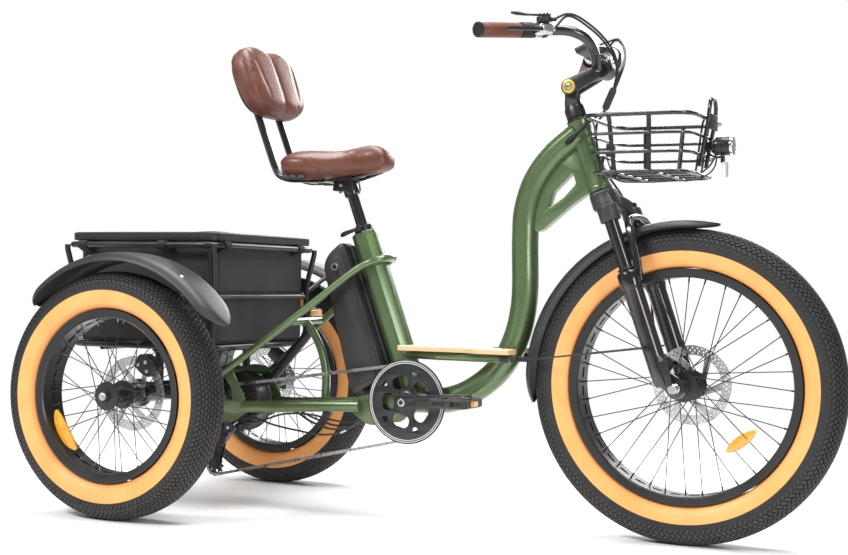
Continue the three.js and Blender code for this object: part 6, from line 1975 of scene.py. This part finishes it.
wires = []
for z, radius in basketLook["rings"]:
    k = basketTaper(z)
    halfX, halfY, r = basketLook["half"]
    wires.append(ringTube(halfX * k - radius, halfY * k - radius, r * k, z, radius, 160,
                          basketLook["centre"]))
low = basketTaper(818)
wires += [tubeShape([(1189 - 125 * low, y, 819), (1189 + 125 * low, y, 819)], 2.9, 12) for y in (-66, 0, 66)]
wires += [tubeShape([(1189 + x, -146 * low, 816), (1189 + x, 146 * low, 816)], 2.9, 12) for x in (-44, 44)]
handle = [(1302, 29, 836), (1311, 29, 884), (1320, 29, 936), (1323, 28, 966), (1323, 18, 984),
          (1323, 0, 986.5)]
wires.append(tubeShape(handle + [(x, -y, z) for x, y, z in handle[-2::-1]], 4.4, 14, count=120))
piece("basket_bars", wires, "gloss", "frame", "front_basket", sharp=60)

# flat upright straps: each follows the basket's taper, folded under at the floor
straps = []
for x, y, wayX, wayY in ((-60, 1, 1, 0), (30, 1, 1, 0), (-60, -1, 1, 0), (30, -1, 1, 0), (-1, -62, 0, 1),
                         (-1, 62, 0, 1), (1, -29, 0, 1), (1, 29, 0, 1)):
    spots = []
    for z, inward in ((946, 4.2), (930, 8.4), (880, 8.0), (830, 7.6), (819, 8.4), (816, 16)):
        k = basketTaper(z)
        if wayX:
            spots.append((1189 + x * k, y * (150 * k - inward), z))
        else:
            spots.append((1189 + x * (129 * k - inward), y * k, z))
    straps.append(sweepShape(bentPath(spots, 5, 4), roundedRect(5.2, 1.3, 1.1, steps=3), (wayX, wayY, 0)))
piece("basket_straps", straps, "satin", "frame", sharp=44)
tag = plateShape([rounded([(-32, 918), (32, 918), (32, 952), (-32, 952)], 4)], 4.6,
                 basis((1324.6, 0, 0), (0, 1, 0), (0, 0, 1), (1, 0, 0)), 1.2)
mountRear = [plateShape([rounded([(-30, 862), (30, 862), (30, 892), (-30, 892)], 5)], 4,
                        basis((1090, 0, 0), (0, 1, 0), (0, 0, 1), (1, 0, 0)), 1.2),
             bothSides(tubeShape([(1052, 27, 877), (1074, 27, 877), (1090, 24, 877)], 4.5, 12, bend=8)),
             bothSides(tubeShape([(1086, 40, 862), (1080, 36, 836), (1090, 36, 818)], 3.6, 12, bend=10))]
piece("basket_plates", [tag, *mountRear], "plastic", "frame", sharp=36)

# lamp: a finned barrel, chrome rim, clear lens over a cluster of small reflectors
lampTurn = basis((1371, 0, 882), (0, 1, 0), (-1, 0, 0), (0, 0, 1))  # the profile's axis points back along -X


def lampShape(profile, segments=56):
    return moved(turnShape(profile, segments), lampTurn)


barrel = [(0.02, 48), (13, 48), (15.5, 46), (16, 42), (20, 38), (20.6, 34), (19.6, 33), (19.6, 31),
          (20.6, 30), (20.6, 27), (19.6, 26), (19.6, 24), (20.6, 23), (20.8, 6), (20.2, 5), (0.02, 5)]
piece("lamp_barrel", [lampShape(barrel), moved(boxShape((-9, 9), (30, 66), (-9, 9)), lampTurn)], "satin",
      "headlight", "headlight", sharp=36)
piece("lamp_rim", [lampShape([(17.8, 7), (20.6, 6.6), (21, 5.4), (21, 1.4), (20.2, 0.2), (18.6, 0),
                              (17.8, 1.4)])], "chrome", "headlight", sharp=36)
cups = []
for u, v in [(0, 0)] + [(10.6 * math.cos(t), 10.6 * math.sin(t)) for t in np.radians(np.arange(6) * 60 + 30)]:
    cup = lampShape([(0.02, 4.2), (1.6, 4.2), (2.2, 3.6), (4.6, 1.4), (5.1, 1.4), (5.1, 5), (0.02, 5)], 20)
    cups.append((cup[0] + (0, u, v), cup[1]))
piece("lamp_cups", cups, "chrome", "headlight", sharp=30)
lens = turnShape([(0.02, 1.0), (18, 1.0), (18.4, 0.6), (18, 0.2), (0.02, 0.2)], 48)
piece("lamp_lens", [moved(lens, lampTurn)], "lens", "headlight", sharp=40)
stalk = [tubeShape([(1306, 0, 880), (1316, 0, 866), (1330, 0, 858), (1346, 0, 858)], 2.6, 10, count=24),
         tubeShape([(1300, 8, 826), (1318, 8, 842), (1328, 4, 860)], 2.0, 10, count=24),
         moved(boxShape((-3, 3), (-9, 9), (-9, 7)), Matrix.Translation((1347, 0, 854)))]
piece("lamp_stalks", stalk, "satin", "frame", sharp=40, bevel=0.6)
square = plateShape([rounded([(-15, -17), (15, -17), (15, 17), (-15, 17)], 4)], 6,
                    basis((1353, 0, 830), (0, 1, 0), (0, 0, 1), (1, 0, 0)), 1.2)
piece("front_reflector", [square], "clear", "frame", sharp=36)
lampWire = tubeShape([(1318, 4, 878), (1330, 10, 858), (1322, 14, 832), (1290, 16, 812), (1230, 14, 808),
                      (1160, 10, 806), (1104, 4, 812), (1088, 2, 840), (1080, -6, 872)], 1.7, 8, count=110)
piece("lamp_wire", [lampWire], "cable", "frame", sharp=60)

rearLens = [plateShape([roundedRect(26, 8, 3)], 6, basis((272, 100, 487), (0, 1, 0), (0.1, 0, 1),
                                                         (1, 0, -0.1)), 1.0)]
rearHolder = [plateShape([roundedRect(30, 12, 4)], 4, basis((267, 100, 487), (0, 1, 0), (0.1, 0, 1),
                                                            (1, 0, -0.1)), 1.0),
                                                            tubeShape([(266, 100, 476), (252, 96, 462),
                                                                       (236, 96, 430)], 4, 12, count=20)]
piece("rear_reflector", rearLens, "amber", "frame", sharp=40)
piece("reflector_holder", rearHolder, "plastic", "frame", sharp=40)

print("basket and lamp drawn")


# floor and light
floorLook = {"size": 60.0, "colour": (0.92, 0.92, 0.92), "near": 1.1, "far": 2.6}


def addFloor(look):
    half = look["size"] / 2
    steps = np.linspace(-half, half, 3)
    points = np.stack([*np.meshgrid(steps, steps, indexing="ij"), np.zeros((3, 3))], -1)
    at, faces = gridShape(points)
    mesh = bpy.data.meshes.new("floor")
    mesh.from_pydata(at.tolist(), [], faces[0].tolist())
    made = bpy.data.materials.new("floor")
    made.use_nodes = True
    tree = made.node_tree
    coat = tree.nodes["Principled BSDF"]
    reach = node(tree, "ShaderNodeVectorMath", {0: node(tree, "ShaderNodeTexCoord").outputs["Object"]},
                 operation="LENGTH").outputs["Value"]
    far = node(tree, "ShaderNodeMapRange", {"Value": reach, "From Min": look["near"],
                                            "From Max": look["far"]}, interpolation_type="SMOOTHSTEP")
    tree.links.new(ramp(tree, far.outputs["Result"], [(0.0, look["colour"]), (1.0, (0, 0, 0))]),
                   coat.inputs["Base Color"])
    tree.links.new(ramp(tree, far.outputs["Result"], [(0.0, (0, 0, 0)), (1.0, (1, 1, 1))]),
                   coat.inputs["Emission Color"])
    coat.inputs["Emission Strength"].default_value = 1
    coat.inputs["Roughness"].default_value = 0.9
    coat.inputs["Specular IOR Level"].default_value = 0
    mesh.materials.append(made)
    floor = bpy.data.objects.new("floor", mesh)
    scene.collection.objects.link(floor)


def addLight(name, place, target, size, power, spread=150):
    data = bpy.data.lights.new(name, "AREA")
    data.shape, data.size, data.size_y, data.energy = "RECTANGLE", size[0], size[1], power
    data.spread = math.radians(spread)
    lamp = bpy.data.objects.new(name, data)
    lamp.location = place
    lamp.rotation_mode = "QUATERNION"
    lamp.rotation_quaternion = (Vector(target) - Vector(place)).to_track_quat("-Z", "Y")
    scene.collection.objects.link(lamp)


addFloor(floorLook)
addLight("key", (-2.4, -4.0, 4.4), (0, 0, 0.5), (2.4, 1.4), 210)
addLight("fill", (4.8, -3.2, 2.0), (0.2, 0, 0.5), (1.2, 2.6), 70)
addLight("top", (0.2, 0.4, 4.4), (0, 0, 0.4), (5.0, 1.8), 200)
addLight("back", (-0.5, 4.5, 2.6), (0, 0, 0.6), (4.0, 1.2), 110)
world = bpy.data.worlds.new("studio")
world.use_nodes = True
world.node_tree.nodes["Background"].inputs["Color"].default_value = (1, 1, 1, 1)
sky = world.node_tree
seen = node(sky, "ShaderNodeLightPath").outputs["Is Camera Ray"]
sky.links.new(node(sky, "ShaderNodeMapRange", {"Value": seen, "To Min": 0.27,
                                               "To Max": 1.0}).outputs["Result"],
                                               sky.nodes["Background"].inputs["Strength"])
scene.world = world
scene.view_settings.view_transform = "Standard"
